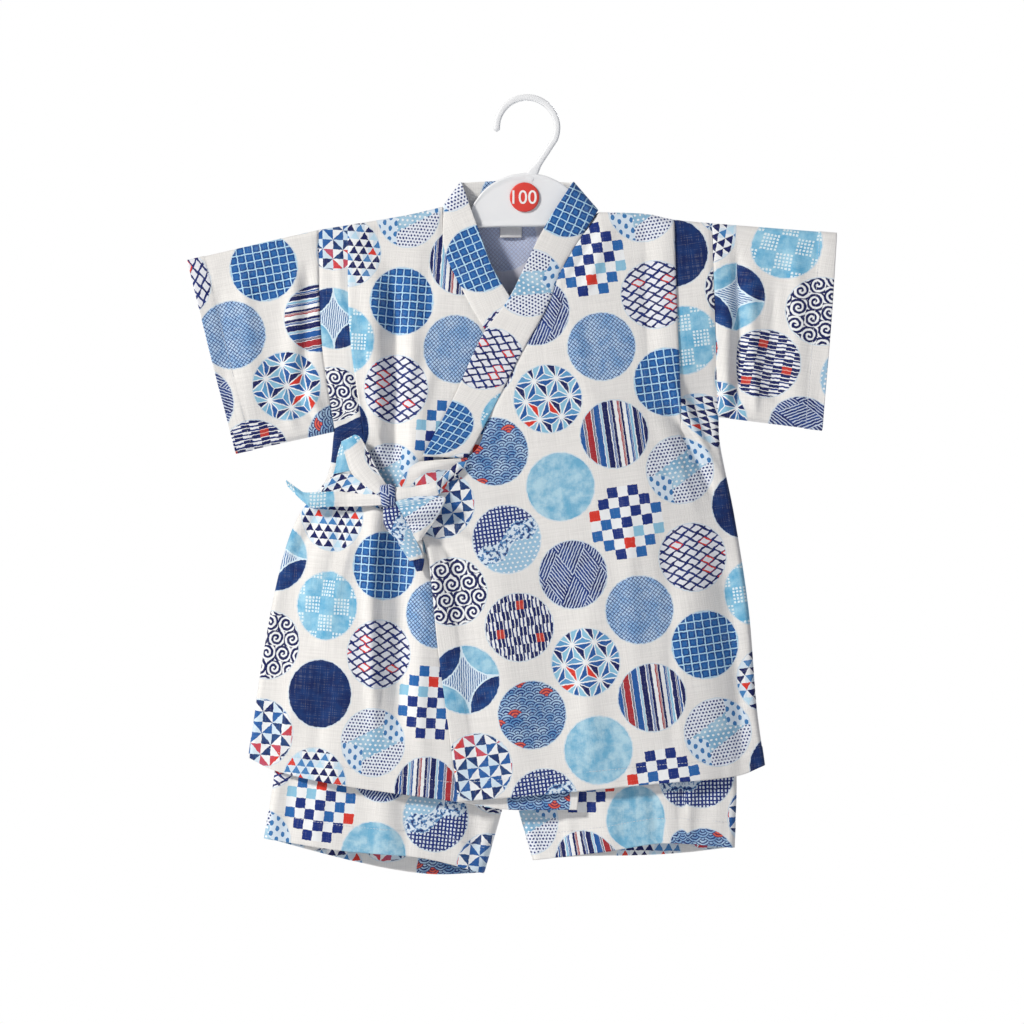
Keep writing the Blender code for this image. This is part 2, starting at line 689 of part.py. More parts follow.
def band_solid(name, rows, finish):
    """A flat band swept through its rows, with a rectangular section that can tilt out of the cloth."""
    vertices, faces = [], []
    centres = []
    for x, z, lift, _, _ in rows:
        depth, _, e = top_depth(max(x, TIE_REACH), z)
        centres.append((x, -depth - over_lift(x, e) - CLOTH / 2 - lift, z))
    for i, (_, _, _, width, tilt) in enumerate(rows):
        a, b = centres[max(i - 1, 0)], centres[min(i + 1, len(rows) - 1)]
        along = unit(*(q - p for p, q in zip(a, b)))
        side = unit(-along[2], 0.0, along[0])
        out = cross(along, side)
        c, s = math.cos(math.radians(tilt)), math.sin(math.radians(tilt))
        wide = tuple(c * p + s * q for p, q in zip(side, out))
        thick = cross(along, wide)
        for across, through in ((-1, -1), (1, -1), (1, 1), (-1, 1)):
            vertices.append(tuple(
                p + across * width / 2 * w + through * TIE_THICK / 2 * t
                for p, w, t in zip(centres[i], wide, thick)
            ))
    for i in range(len(rows) - 1):
        for k in range(4):
            a, b = 4 * i + k, 4 * i + (k + 1) % 4
            faces.append((a, b, b + 4, a + 4))
    last = 4 * (len(rows) - 1)
    faces += [(3, 2, 1, 0), (last, last + 1, last + 2, last + 3)]
    return mesh_object(name, vertices, faces, finish)


def cross(a, b):
    return (a[1] * b[2] - a[2] * b[1], a[2] * b[0] - a[0] * b[2], a[0] * b[1] - a[1] * b[0])


def make_ties():
    for name, rows in TIE_BANDS.items():
        band_solid(name, rows, "cotton_print")
    x, z = KNOT
    depth, _, e = top_depth(x, z)
    middle = (x, -depth - over_lift(x, e) - KNOT_LIFT, z)
    vertices, faces = [], []
    rings = ((-1.0, 0.55), (-0.6, 0.95), (0.0, 1.0), (0.6, 0.95), (1.0, 0.55))
    sides = 10
    for height, share in rings:
        for k in range(sides):
            angle = 2 * math.pi * k / sides
            vertices.append((
                middle[0] + share * KNOT_SIZE[0] / 2 * math.cos(angle),
                middle[1] + share * KNOT_SIZE[1] / 2 * math.sin(angle),
                middle[2] + height * KNOT_SIZE[2] / 2,
            ))
    for r in range(len(rings) - 1):
        for k in range(sides):
            a, b = r * sides + k, r * sides + (k + 1) % sides
            faces.append((a, b, b + sides, a + sides))
    faces.append(tuple(range(sides - 1, -1, -1)))
    faces.append(tuple(range((len(rings) - 1) * sides, len(rings) * sides)))
    mesh_object("tie_knot", vertices, faces, "cotton_print")


def hook_path():
    """Middle line of the hook: an arc over the rail, then a straight shank down into the plate."""
    radius = HOOK_RADIUS + HOOK_BAR / 2
    points = []
    for i in range(HOOK_STEPS + 1):
        angle = math.radians(HOOK_TIP_ANGLE + (HOOK_SHANK_ANGLE - HOOK_TIP_ANGLE) * i / HOOK_STEPS)
        points.append((radius * math.cos(angle), -HOOK_RADIUS + radius * math.sin(angle)))
    return points + [HOOK_FOOT]


def make_hanger():
    path = hook_path()
    vertices, faces = [], []
    bar, deep = HOOK_BAR / 2, HOOK_DEPTH / 2
    section = ((1, 0.5), (0.6, 1), (-0.6, 1), (-1, 0.5), (-1, -0.5), (-0.6, -1), (0.6, -1), (1, -0.5))
    for i, (x, z) in enumerate(path):
        a, b = path[max(i - 1, 0)], path[min(i + 1, len(path) - 1)]
        along = unit(b[0] - a[0], 0, b[1] - a[1])
        for across, through in section:
            vertices.append((x + across * bar * along[2], through * deep, z - across * bar * along[0]))
    sides = len(section)
    for i in range(len(path) - 1):
        for k in range(sides):
            a, b = sides * i + k, sides * i + (k + 1) % sides
            faces.append((a, b, b + sides, a + sides))
    faces.append(tuple(range(sides - 1, -1, -1)))
    faces.append(tuple(range(len(vertices) - sides, len(vertices))))
    hook = mesh_object("hook_blank", vertices, faces, "plastic_white")
    hook.hide_render = True
    hook.display_type = "WIRE"
    edges = [(-x, up, low) for x, up, low in PLATE_EDGES[:0:-1]] + list(PLATE_EDGES)
    outline = [(x, up) for x, up, _ in edges] + [(x, low) for x, _, low in reversed(edges)]
    count = len(outline)
    vertices = [(x, -PLATE_HALF, z) for x, z in outline] + [(x, PLATE_HALF, z) for x, z in outline]
    faces = [(k, k + 1, count - k - 2, count - k - 1) for k in range(len(edges) - 1)]
    faces = [f[::-1] for f in faces]
    faces += [tuple(count + k for k in reversed(f)) for f in faces]
    faces += [(k, (k + 1) % count, count + (k + 1) % count, count + k) for k in range(count)]
    plate = mesh_object("hanger", vertices, faces, "plastic_white")
    rounding = plate.modifiers.new("Rounded edges", "BEVEL")
    rounding.width = 0.7 * MM
    rounding.segments = 1
    rounding.limit_method = "ANGLE"
    rounding.angle_limit = math.radians(60)
    joint = plate.modifiers.new("Hook", "BOOLEAN")
    joint.operation = "UNION"
    joint.object = hook


def make_disc():
    sides = 32
    vertices, faces = [], []
    for y in (-PLATE_HALF - SEAM_GAP - DISC_THICK, -PLATE_HALF - SEAM_GAP):
        for k in range(sides):
            angle = 2 * math.pi * k / sides
            across, up = DISC_RADIUS * math.cos(angle), DISC_RADIUS * math.sin(angle)
            vertices.append((DISC_X + across, y, DISC_Z + up))
    faces.append(tuple(range(sides)))
    faces.append(tuple(range(2 * sides - 1, sides - 1, -1)))
    faces += [(k, k + sides, (k + 1) % sides + sides, (k + 1) % sides) for k in range(sides)]
    mesh_object("size_disc", vertices, faces, "size_red")


def make_materials():
    made = {}
    for name, (colour, roughness) in COLOURS.items():
        material = bpy.data.materials.new(name)
        material.use_nodes = True
        shader = material.node_tree.nodes["Principled BSDF"]
        shader.inputs["Base Color"].default_value = (*colour, 1)
        shader.inputs["Roughness"].default_value = roughness
        material.diffuse_color = (*colour, 1)
        made[name] = material
    return made


for old in list(bpy.data.objects):
    bpy.data.objects.remove(old)
materials = make_materials()
make_back()
make_front_right()
make_front_left()
make_sleeves()
make_collar()
make_label()
make_shorts()
make_ties()
make_hanger()
make_disc()
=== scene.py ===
"""Child's jinbei set on its hanger: the looks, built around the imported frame.

Lengths are in millimetres until a mesh is made. The edge tables and the fold that they make are those
of the cloth's solids: x runs to the wearer's left, z up, and the front faces -Y.
"""

import functools
import math

import bmesh
import bpy
import numpy as np
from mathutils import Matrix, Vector


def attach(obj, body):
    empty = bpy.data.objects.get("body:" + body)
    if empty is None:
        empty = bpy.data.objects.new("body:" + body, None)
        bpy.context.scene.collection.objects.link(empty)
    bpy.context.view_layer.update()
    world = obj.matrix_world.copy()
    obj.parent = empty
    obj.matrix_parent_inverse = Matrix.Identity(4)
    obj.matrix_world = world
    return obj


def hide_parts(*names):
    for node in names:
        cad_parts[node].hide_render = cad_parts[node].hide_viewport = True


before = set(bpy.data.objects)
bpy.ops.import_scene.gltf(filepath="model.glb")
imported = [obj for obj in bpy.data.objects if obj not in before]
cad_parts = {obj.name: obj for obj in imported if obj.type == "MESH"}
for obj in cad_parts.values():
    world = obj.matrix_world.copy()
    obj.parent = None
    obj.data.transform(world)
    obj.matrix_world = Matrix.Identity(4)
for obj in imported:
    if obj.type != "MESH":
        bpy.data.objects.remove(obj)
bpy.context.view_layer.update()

MM = 0.001
CLOTH = 0.8
BAND = 1.5
FOLD_RADIUS = 4.0
BODY_BULGE = 12.0
NECK_BULGE = 5.0
SLEEVE_BULGE = 5.0
BULGE_REACH = 70.0
SHORTS_BULGE = 4.5
SHORTS_REACH = 60.0
OVER_LIFT = 2.7
GRID = 2.4

# Edges: level, x, z. A level given twice is a corner.
ARMHOLE_RIGHT = ((0, -158, -98.5), (2, -156, -175), (4, -146, -251))
ARMHOLE_LEFT = ((0, 140, -93.5), (2, 142, -170), (4, 145, -240))
SIDE_RIGHT = (
    (4, -146, -251),
    (4.9, -152, -287),
    (5.6, -173, -315),
    (6.5, -186, -351),
    (8, -199, -415),
    (10, -211, -498.5),
)
SIDE_LEFT = (
    (4, 145, -240),
    (4.5, 146, -260),
    (5.7, 157, -315),
    (7.3, 168, -387),
    (9, 174, -460),
    (10, 180, -504.5),
)
UNDER_SEAM = ((0, -64, -81), (0.8, -62, -113), (1.5, -50, -141), (2.3, -32, -173), (3.7, 10, -238))
UNDER_EDGE = ((3.7, 10, -238), (4.6, 36, -275), (5.6, 50, -318), (7.5, 47, -420), (10, 38, -537))
OVER_SEAM = (
    (0, 55, -85),
    (1.1, 28, -124),
    (2, 14, -158),
    (2.9, -4.6, -191.5),
    (4, -29, -240),
    (4.9, -45.6, -271.8),
)
OVER_CORNER = ((5, -81.2, -274.4), (5.6, -100, -299))
OVER_EDGE = ((5.6, -100, -299), (6.4, -77.5, -333.6), (8, -67, -417), (10, -51.7, -530.5))
SHOULDER_RIGHT = ((0, -158, -98.5), (0.7, -92, -87.5), (1, -64, -81))
SHOULDER_LEFT = ((0, 55, -85), (0.42, 91, -86.5), (0.65, 110, -90.5), (1, 140, -93.5))
NECKLINE = ((0, -64, -81), (0.29, -30, -90), (0.5, -5, -92), (0.72, 30, -90.5), (1, 55, -85))
HEM_UNDER = (
    (0, -211, -498.5),
    (0.08, -192, -507.7),
    (0.27, -144, -518),
    (0.64, -52, -531),
    (0.78, -18, -536.6),
    (1, 38, -537),
)
HEM_OVER = (
    (0, -51.7, -530.5),
    (0.28, 14, -525),
    (0.66, 100, -517),
    (0.91, 160, -512),
    (1, 180, -504.5),
)
HEM_BACK = (
    (0, -211, -498.5),
    (0.12, -164, -509),
    (0.4, -55, -520),
    (0.65, 43, -517),
    (0.88, 134, -508),
    (1, 180, -504.5),
)
CUFF_RIGHT = ((0, -257.6, -121.6), (4, -221, -267.5))
CUFF_LEFT = ((0, 235, -101), (4, 224, -250))
RIDGE_RIGHT = ((0, -257.6, -121.6), (0.62, -195, -107), (1, -158, -98.5))
RIDGE_LEFT = ((0, 140, -93.5), (1, 235, -101))
UNDER_RIGHT = ((0, -221, -267.5), (1, -146, -251))
UNDER_LEFT = ((0, 145, -240), (1, 224, -250))
UNDER_BAND = (
    (0, -50, -62),
    (0.8, -37, -98),
    (1.5, -26, -128),
    (2.3, -6, -161),
    (3.7, 34, -224),
)
OVER_BAND = (
    (0, 35, -62),
    (1.1, 11, -101),
    (2, -13, -150),
    (2.9, -34, -180),
    (4, -56, -228),
    (4.9, -78.9, -270.6),
)
BAND_TOP = ((0, -50, -62), (0.5, -8, -60), (1, 35, -62))
NECK_FOOT_RIGHT = (-62.6, -79.2)
NECK_FOOT_LEFT = (53.4, -83.2)

# Shoulder tucks: distance of the fold edge from the armhole, and the level where its seam ends.
TUCK_RIGHT = 23.0
TUCK_LEFT = 29.0
# Cloth that each tuck hides at the shoulder and at its end, and how far the print drops across it there.
HIDDEN_RIGHT = (29.0, 44.0, 27.0, 10.0)
HIDDEN_LEFT = (25.0, 30.0, 8.0, 8.0)
TUCK_END = 3.3
TUCK_FADE = 1.3
# Profile of a tuck: place from its edge when it has faded, place when it is sewn, lift, hidden share.
TUCK_PROFILE = (
    (-6.0, -6.0, 0.0, 0.0),
    (-2.0, -1.0, 0.0, 0.0),
    (-1.0, 1.4, 0.1, 0.05),
    (-0.4, 1.0, 0.5, 0.5),
    (0.2, 0.0, 0.8, 0.95),
    (0.8, -0.4, 1.4, 1.0),
    (1.4, 0.2, 2.0, 1.0),
    (2.2, 1.4, 2.3, 1.0),
    (6.0, 6.0, 2.2, 1.0),
    (11.0, 11.0, 1.5, 1.0),
    (16.0, 16.0, 0.6, 1.0),
    (22.0, 22.0, 0.1, 1.0),
)

# Folds: x, z at the start, x, z at the end, height (a trough is negative), half width.
UNDER_FOLDS = (
    (-101, -140, -99, -294, -7.5, 6.5),
    (-87, -170, -90, -288, 2.6, 6.0),
    (-116, -130, -112, -292, 5.5, 6.5),
    (-138, -205, -117, -292, 2.6, 7.0),
    (-128, -215, -111, -292, -2.8, 4.5),
    (-72, -200, -90, -290, 2.0, 9.0),
    (-84, -215, -97, -290, -1.8, 5.0),
    (-98, -306, -96, -480, -7.5, 8.5),
    (-82, -330, -78, -505, 2.4, 12.0),
    (-116, -306, -117, -480, 6.0, 8.5),
    (-137, -318, -162, -408, -4.4, 2.5),
    (-133, -318, -157, -408, 3.2, 3.6),
    (-131, -322, -153, -410, 2.6, 7.0),
    (-147, -318, -172, -396, 2.4, 6.5),
    (-158, -312, -178, -350, -2.4, 3.5),
    (-168, -420, -186, -500, 2.2, 13.0),
    (-150, -430, -160, -512, -1.8, 9.0),
    (-142, -120, -134, -200, 1.4, 7.0),
    (-152, -262, -116, -294, 2.4, 5.0),
    (-148, -276, -118, -297, -2.0, 3.5),
    (-70, -110, -78, -170, -1.6, 7.0),
    (-40, -420, -30, -530, 1.6, 16.0),
)
OVER_FOLDS = (
    (-90, -294, -12, -300, 2.6, 6.0),
    (-88, -300, -14, -322, -2.6, 5.0),
    (-86, -305, -22, -350, 2.8, 6.0),
    (-84, -310, -42, -372, -2.4, 6.0),
    (-80, -316, -60, -400, 2.2, 8.0),
    (-86, -284, -34, -262, 2.2, 6.0),
    (-70, -266, -20, -238, -1.4, 6.0),
    (-52, -360, -40, -500, -1.8, 10.0),
    (-30, -330, -4, -500, 1.7, 18.0),
    (110, -214, 152, -296, 4.2, 5.5),
    (103, -222, 143, -306, -3.2, 5.0),
    (95, -234, 130, -316, 1.8, 7.0),
    (70, -242, 126, -250, 1.2, 10.0),
    (126, -330, 142, -500, 2.4, 14.0),
    (148, -340, 164, -500, -2.0, 8.0),
    (104, -320, 112, -505, -1.8, 10.0),
    (46, -360, 50, -515, 1.6, 20.0),
    (78, -300, 84, -500, 1.4, 15.0),
    (16, -350, 22, -512, -1.5, 15.0),
    (98, -104, 102, -228, 1.6, 7.0),
    (92, -110, 94, -226, -1.4, 5.0),
    (64, -94, 40, -150, 1.4, 8.0),
    (52, -96, 26, -150, -1.2, 5.0),
    (30, -170, 60, -250, 1.2, 16.0),
)
BACK_FOLDS = (
    (-60, -150, -68, -508, 3.0, 16.0),
    (-34, -190, -36, -512, -2.4, 14.0),
    (-4, -220, -2, -515, 2.2, 18.0),
    (30, -180, 32, -512, -2.0, 13.0),
    (60, -170, 68, -505, 2.6, 17.0),
    (100, -240, 118, -500, 2.6, 12.0),
    (120, -262, 146, -492, -2.4, 9.0),
    (-112, -250, -142, -500, 2.8, 13.0),
    (-96, -230, -112, -500, -2.4, 10.0),
    (-124, -226, -170, -330, 3.0, 6.0),
    (-130, -240, -178, -350, -2.4, 5.0),
    (112, -218, 152, -300, 3.4, 6.0),
    (104, -226, 142, -306, -2.6, 5.0),
    (-90, -104, -80, -180, 1.4, 8.0),
    (80, -104, 70, -180, 1.4, 8.0),
)
SLEEVE_FOLDS = (
    (159, -118, 160, -248, -3.6, 4.5),
    (151, -150, 152, -246, 2.8, 4.5),
    (170, -130, 172, -248, 2.8, 6.0),
    (152, -214, 204, -240, 1.6, 6.0),
    (200, -110, 208, -244, 1.8, 14.0),
    (186, -140, 188, -246, -1.4, 7.0),
    (-174, -130, -180, -212, 3.0, 7.0),
    (-166, -126, -170, -236, -2.8, 4.5),
    (-166, -222, -150, -250, 3.0, 5.0),
    (-190, -200, -158, -250, -2.0, 6.0),
    (-200, -214, -172, -256, 1.8, 7.0),
    (-216, -130, -206, -262, 1.9, 12.0),
    (-236, -140, -222, -262, -1.5, 9.0),
)
SHORTS_FOLDS_FRONT = (
    (-112, -500, -106, -578, 2.4, 8.0),
    (-94, -500, -90, -574, -2.0, 7.0),
    (-62, -500, -50, -576, 2.0, 8.0),
    (-46, -500, -38, -582, -1.6, 6.0),
    (-152, -500, -160, -564, 1.8, 10.0),
    (-176, -500, -184, -560, -1.5, 7.0),
    (60, -500, 58, -570, 2.0, 10.0),
    (122, -496, 122, -566, 3.2, 2.6),
    (116, -496, 116, -566, -2.6, 2.2),
    (28, -510, 34, -572, 1.6, 8.0),
    (92, -500, 96, -566, -1.8, 8.0),
    (142, -500, 146, -564, 1.4, 8.0),
)
SHORTS_FOLDS_BACK = (
    (-130, -480, -126, -578, 2.2, 10.0),
    (-96, -480, -86, -585, -2.0, 10.0),
    (-60, -490, -50, -585, 1.8, 9.0),
    (40, -490, 44, -575, 1.7, 10.0),
    (74, -490, 78, -572, -2.0, 9.0),
    (112, -490, 112, -570, 2.2, 9.0),
)
# Cloth that the sharpest folds hide from sight: x, z at each end, cloth hidden on the side of the seam.
UNDER_HIDDEN = ((-132, -312, -166, -420, -3.0),)
SLEEVE_LEFT_HIDDEN = ((158, -80, 161, -260, 7.0),)
SHORTS_LEFT_HIDDEN = ((118, -480, 119, -575, -12.0),)

# Shorts.
WAIST_TOP = -262.0
WAIST_BOTTOM = -287.0
WAIST_LEFT_X = -127.0
WAIST_RIGHT_X = 103.0
SHORTS_SIDE_RIGHT = ((0, -127, -287.3), (3, -158, -372), (6, -185, -455), (8, -192, -515), (10, -199, -560))
SHORTS_SIDE_LEFT = ((0, 103, -287.3), (3, 134, -372), (6, 153, -455), (8, 158.7, -512), (10, 157, -567))
CENTRE_RIGHT = ((0, -12.65, -287.3), (8, -12.65, -506))
CENTRE_LEFT = ((0, -12.35, -287.3), (8, -12.35, -506))
INSEAM_RIGHT = ((8.04, -13.7, -509), (9, -18.6, -536), (10, -33, -586.5))
INSEAM_LEFT = ((8.04, -11.3, -509), (9, -6.5, -537), (10, 5, -576.5))
WAIST_LINE_RIGHT = ((0, -127, -287.3), (1, -12.65, -287.3))
WAIST_LINE_LEFT = ((0, -12.35, -287.3), (1, 103, -287.3))
LEG_HEM_RIGHT_FRONT = ((0, -199, -560), (0.4, -137, -569), (0.75, -78, -574.5), (1, -33, -586.5))
LEG_HEM_RIGHT_BACK = ((0, -199, -560), (0.4, -130, -579), (0.75, -76, -588), (1, -33, -586.5))
LEG_HEM_LEFT_FRONT = ((0, 5, -576.5), (0.4, 62, -569), (0.68, 104, -563), (1, 157, -567))
LEG_HEM_LEFT_BACK = ((0, 5, -576.5), (0.16, 30, -575), (0.66, 106, -573), (1, 157, -567))

# Where each piece was cut from the printed cloth: a place on the piece (x, z), the motif of the print
# that lies there (column, row), the turn of the cloth in degrees, and how much folds shorten it across.
PRINT_PLACES = {
    "Front_left": (25.1, -293.4, 0, 0, -8.2, 1.0),
    "Front_right": (-98.8, -219.6, 2, 0, 184.0, 0.93),
    "Back": (-18.4, -103.0, 1, 1, 2.0, 1.0),
    "Sleeve_left": (159.3, -149.3, 4, 0, 99.8, 1.0),
    "Sleeve_right": (-223.4, -178.6, 1, 1, 259.0, 1.0),
    "Collar_left": (29.6, -79.0, 2, 1, 24.8, 1.0),
    "Collar_right": (-35.7, -120.8, 2, 1, 157.0, 1.0),
    "Collar_back": (-10.0, -75.0, 1, 1, 90.0, 1.0),
    "Shorts_leg_right": (-156.6, -534.3, 1, 0, 186.0, 0.96),
    "Shorts_leg_left": (88.9, -544.9, 0, 0, 179.0, 0.96),
    "Shorts_waistband": (0.0, -270.0, 1, 2, 90.0, 0.8),
}
COLUMN_STEP = 45.7
COLUMN_DROP = 33.4
ROW_STEP = 66.8
DISC_RADIUS = 25.4
CHECK = 7.8
WAVE = 12.8
WAVE_RISE = 3.1


# ---------------------------------------------------------------- form of the folded cloth

# Places of the first rows beside a fold, closer together where it curves most.
NEAR_FOLD = np.array([0, 0.15, 0.54, 1.17, 2.0, 3.0, 4.0])


def smoothstep(t):
    t = np.clip(t, 0.0, 1.0)
    return t * t * (3 - 2 * t)


def bell(distance, half):
    return np.exp(-((distance / half) ** 2))


def turned(u, v, degrees):
    c, s = math.cos(math.radians(degrees)), math.sin(math.radians(degrees))
    return u * c - v * s, u * s + v * c


def unit_rows(v):
    return v / np.maximum(np.linalg.norm(v, axis=-1, keepdims=True), 1e-9)


def length_along(line):
    """Distance along a line of points (count, 2) to each of them."""
    return np.concatenate([[0], np.cumsum(np.hypot(*np.diff(line, axis=0).T))])


def grid(rows, count, ring=False, start=0, flip=False):
    """Faces of a grid of points, row by row, facing out where columns run right and rows down."""
    faces = []
    for r in range(rows - 1):
        for c in range(count if ring else count - 1):
            a, b = (start + r * count + k for k in (c, (c + 1) % count))
            faces.append((a, b, b + count, a + count) if flip else (a, a + count, b + count, b))
    return faces


def at(edge, level):
    """Points of an edge at an array of levels, on a smooth curve through its rows: (..., 2)."""
    rows = np.array(edge, float)
    level = np.clip(np.asarray(level, float), rows[0, 0], rows[-1, 0])
    found = np.zeros(level.shape + (2,))
    for k in range(len(rows) - 1):
        a, b = rows[k], rows[k + 1]
        h = b[0] - a[0]
        if h <= 0:
            continue
        before = rows[k - 1] if k > 0 and rows[k - 1, 0] < a[0] else a
        after = rows[k + 2] if k + 2 < len(rows) and rows[k + 2, 0] > b[0] else b
        slope_a = (b[1:] - before[1:]) / (b[0] - before[0])
        slope_b = (after[1:] - a[1:]) / (after[0] - a[0])
        inside = (level >= a[0]) & (level <= b[0])
        t = ((level - a[0]) / h)[..., None]
        point = (
            (1 + 2 * t) * (1 - t) ** 2 * a[1:]
            + t * (1 - t) ** 2 * h * slope_a
            + t * t * (3 - 2 * t) * b[1:]
            + t * t * (t - 1) * h * slope_b
        )
        found = np.where(inside[..., None], point, found)
    return found


def polyline(*edges, steps=12):
    points = []
    for edge in edges:
        for a, b in zip(edge, edge[1:]):
            if b[0] != a[0]:
                points += [tuple(p) for p in at(edge, np.linspace(a[0], b[0], steps + 1))]
    return points


def reverse(points):
    return list(reversed(points))


# Folded edges, walked so that the cloth lies on the left of the way.
TOP_FOLDS = (
    reverse(polyline(SHOULDER_LEFT, RIDGE_LEFT)) + [(35, -62)],
    [(-50, -62)] + reverse(polyline(RIDGE_RIGHT, SHOULDER_RIGHT)),
    polyline(UNDER_RIGHT, SIDE_RIGHT),
    reverse(polyline(SIDE_LEFT)) + polyline(UNDER_LEFT),
)
SHORTS_FOLDS = (
    [(WAIST_LEFT_X, WAIST_TOP + 4)] + polyline(SHORTS_SIDE_RIGHT),
    reverse(polyline(SHORTS_SIDE_LEFT)) + [(WAIST_RIGHT_X, WAIST_TOP + 4)],
    reverse(polyline(INSEAM_RIGHT)),
    polyline(INSEAM_LEFT),
)
ON_FOLD = 0.06


def from_fold(folds, xz):
    """Distance of points (..., 2) to the nearest folded edge."""
    best = np.full(xz.shape[:-1], np.inf)
    for line in folds:
        line = np.array(line, float)
        for a, b in zip(line, line[1:]):
            d = b - a
            size = d @ d
            if size == 0:
                continue
            t = np.clip(((xz - a) @ d) / size, 0, 1)
            gap = xz - a - t[..., None] * d
            best = np.minimum(best, np.hypot(gap[..., 0], gap[..., 1]))
    return np.maximum(best - ON_FOLD, 0.0)


def swell(e, bulge, reach):
    """Half depth of the folded cloth, a distance in from its fold."""
    fold = np.where(e < FOLD_RADIUS, np.sqrt(np.maximum(e * (2 * FOLD_RADIUS - e), 0)), FOLD_RADIUS)
    return fold + bulge * smoothstep(e / reach)


def top_bulge(xz):
    x, z = xz[..., 0], xz[..., 1]
    body = NECK_BULGE + (BODY_BULGE - NECK_BULGE) * smoothstep((-90 - z) / 160)
    in_sleeve = smoothstep((abs(x + 9) - 120) / 60) * smoothstep((z + 330) / 70)
    return body + (SLEEVE_BULGE - body) * in_sleeve


def folds_at(table, xz):
    """Height of a table of folds: long, soft and uneven ridges and troughs."""
    height = np.zeros(xz.shape[:-1])
    for k, (ax, az, bx, bz, rise, half) in enumerate(table):
        d = np.array((bx - ax, bz - az), float)
        length = math.hypot(*d)
        t = ((xz[..., 0] - ax) * d[0] + (xz[..., 1] - az) * d[1]) / length**2
        across = ((xz[..., 0] - ax) * d[1] - (xz[..., 1] - az) * d[0]) / length
        across = across + 0.18 * half * np.sin(5.0 * t + 1.7 * k)
        width = half * (0.75 + 0.35 * np.sin(2.6 * t + k))
        along = smoothstep((t + 0.12) / 0.3) * smoothstep((1.12 - t) / 0.4)
        height = height + rise * along * bell(across, width)
    return height


def ripple(xz, seed=0.0):
    """Slight unevenness of soft cotton, the same everywhere on both sides."""
    x, z = xz[..., 0], xz[..., 1]
    return (
        0.55 * np.sin(x / 21.0 + 1.3 * np.sin(z / 63.0 + seed) + seed)
        + 0.35 * np.sin(z / 17.0 + x / 39.0 + 2.0 * seed)
        + 0.22 * np.sin(x / 8.3 - z / 29.0 + 3.0 * seed)
    )


def over_lift(xz, e):
    return OVER_LIFT * smoothstep(e / 15) * smoothstep((104 - xz[..., 0]) / 55)


def top_place(xz, side, folds=(), over=0.0, lift=0.0, seed=0.0):
    """Points of the top's front (side -1) or back (side 1), a lift out from the cloth's own place."""
    e = from_fold(TOP_FOLDS, xz)
    calm = smoothstep(e / 14)
    depth = swell(e, top_bulge(xz), BULGE_REACH) + over * over_lift(xz, e)
    depth = depth + calm * (folds_at(folds, xz) + 0.8 * ripple(xz, seed)) + lift * smoothstep(e / 5)
    return np.stack([xz[..., 0], side * (depth + 0.1), xz[..., 1]], -1)


def shorts_place(xz, side, folds=(), lift=0.0, seed=0.0):
    e = from_fold(SHORTS_FOLDS, xz)
    calm = smoothstep(e / 12)
    depth = swell(e, SHORTS_BULGE, SHORTS_REACH)
    depth = depth + calm * (folds_at(folds, xz) + 0.6 * ripple(xz, seed)) + lift * smoothstep(e / 5)
    return np.stack([xz[..., 0], side * (depth + 0.05), xz[..., 1]], -1)


def sag(edge, u):
    """How far an edge lies from the straight line between its ends."""
    a, b = np.array(edge[0][1:], float), np.array(edge[-1][1:], float)
    u = np.asarray(u)[..., None]
    return at(edge, u[..., 0]) - (1 - u) * a - u * b


def patch(top, bottom, left, right, share, offset, levels):
    """Grid of (x, z): rows from the left edge to the right one, bent as the top and bottom edges are.

    share and offset place each column: a share of the width plus millimetres, one row for all levels
    or one for each.
    """
    levels = np.asarray(levels, float)
    first, last = left[0][0], left[-1][0]
    v = ((levels - first) / (last - first))[:, None]
    a, b = at(left, levels)[:, None, :], at(right, levels)[:, None, :]
    width = np.hypot(*np.moveaxis(b - a, -1, 0))
    u = np.broadcast_to(share, np.broadcast_shapes(np.shape(share), width.shape)) + offset / width
    edge = (1 - u)[..., None] * a + u[..., None] * b
    return edge + (1 - v)[..., None] * sag(top, u) + v[..., None] * sag(bottom, u)


def fold_places(length, start, end, step=GRID):
    """Even places from 0 to length, closer together beside a folded start or end."""
    low, high = NEAR_FOLD[-1] * start, length - NEAR_FOLD[-1] * end
    middle = np.linspace(low, high, max(int((high - low) / step), 2) + 1)
    first, last = NEAR_FOLD[:-1][:6 * start], length - NEAR_FOLD[-2::-1][:6 * end]
    return np.concatenate([first, middle, last])


# ---------------------------------------------------------------- shader numbers and colours

TURN = 6.2832


def rgb(code):
    """Linear colour of a hex sRGB code."""
    parts = [int(code[i:i + 2], 16) / 255 for i in (0, 2, 4)]
    return tuple(c / 12.92 if c <= 0.04045 else ((c + 0.055) / 1.055) ** 2.4 for c in parts) + (1.0,)


def math_node(tree, name, *values):
    node = tree.nodes.new("ShaderNodeMath")
    node.operation = name
    for slot, value in zip(node.inputs, values):
        if isinstance(value, Num):
            tree.links.new(value.socket, slot)
        else:
            slot.default_value = value
    return Num(tree, node.outputs[0])


class Num:
    """A number worked out by math nodes: arithmetic on it adds nodes to its tree."""

    def __init__(self, tree, socket):
        self.tree = tree
        self.socket = socket

    def op(self, name, *others):
        return math_node(self.tree, name, self, *others)

    def __rsub__(self, other):
        return math_node(self.tree, "SUBTRACT", other, self)

    def odd(self):
        """1 where a whole number is odd."""
        return (self * 0.5).fract() > 0.25

    def close_to(self, value, reach=0.1):
        return self.op("COMPARE", value, reach)

    def tri(self):
        """Distance to the nearest whole number."""
        return (self - self.op("ROUND")).abs()


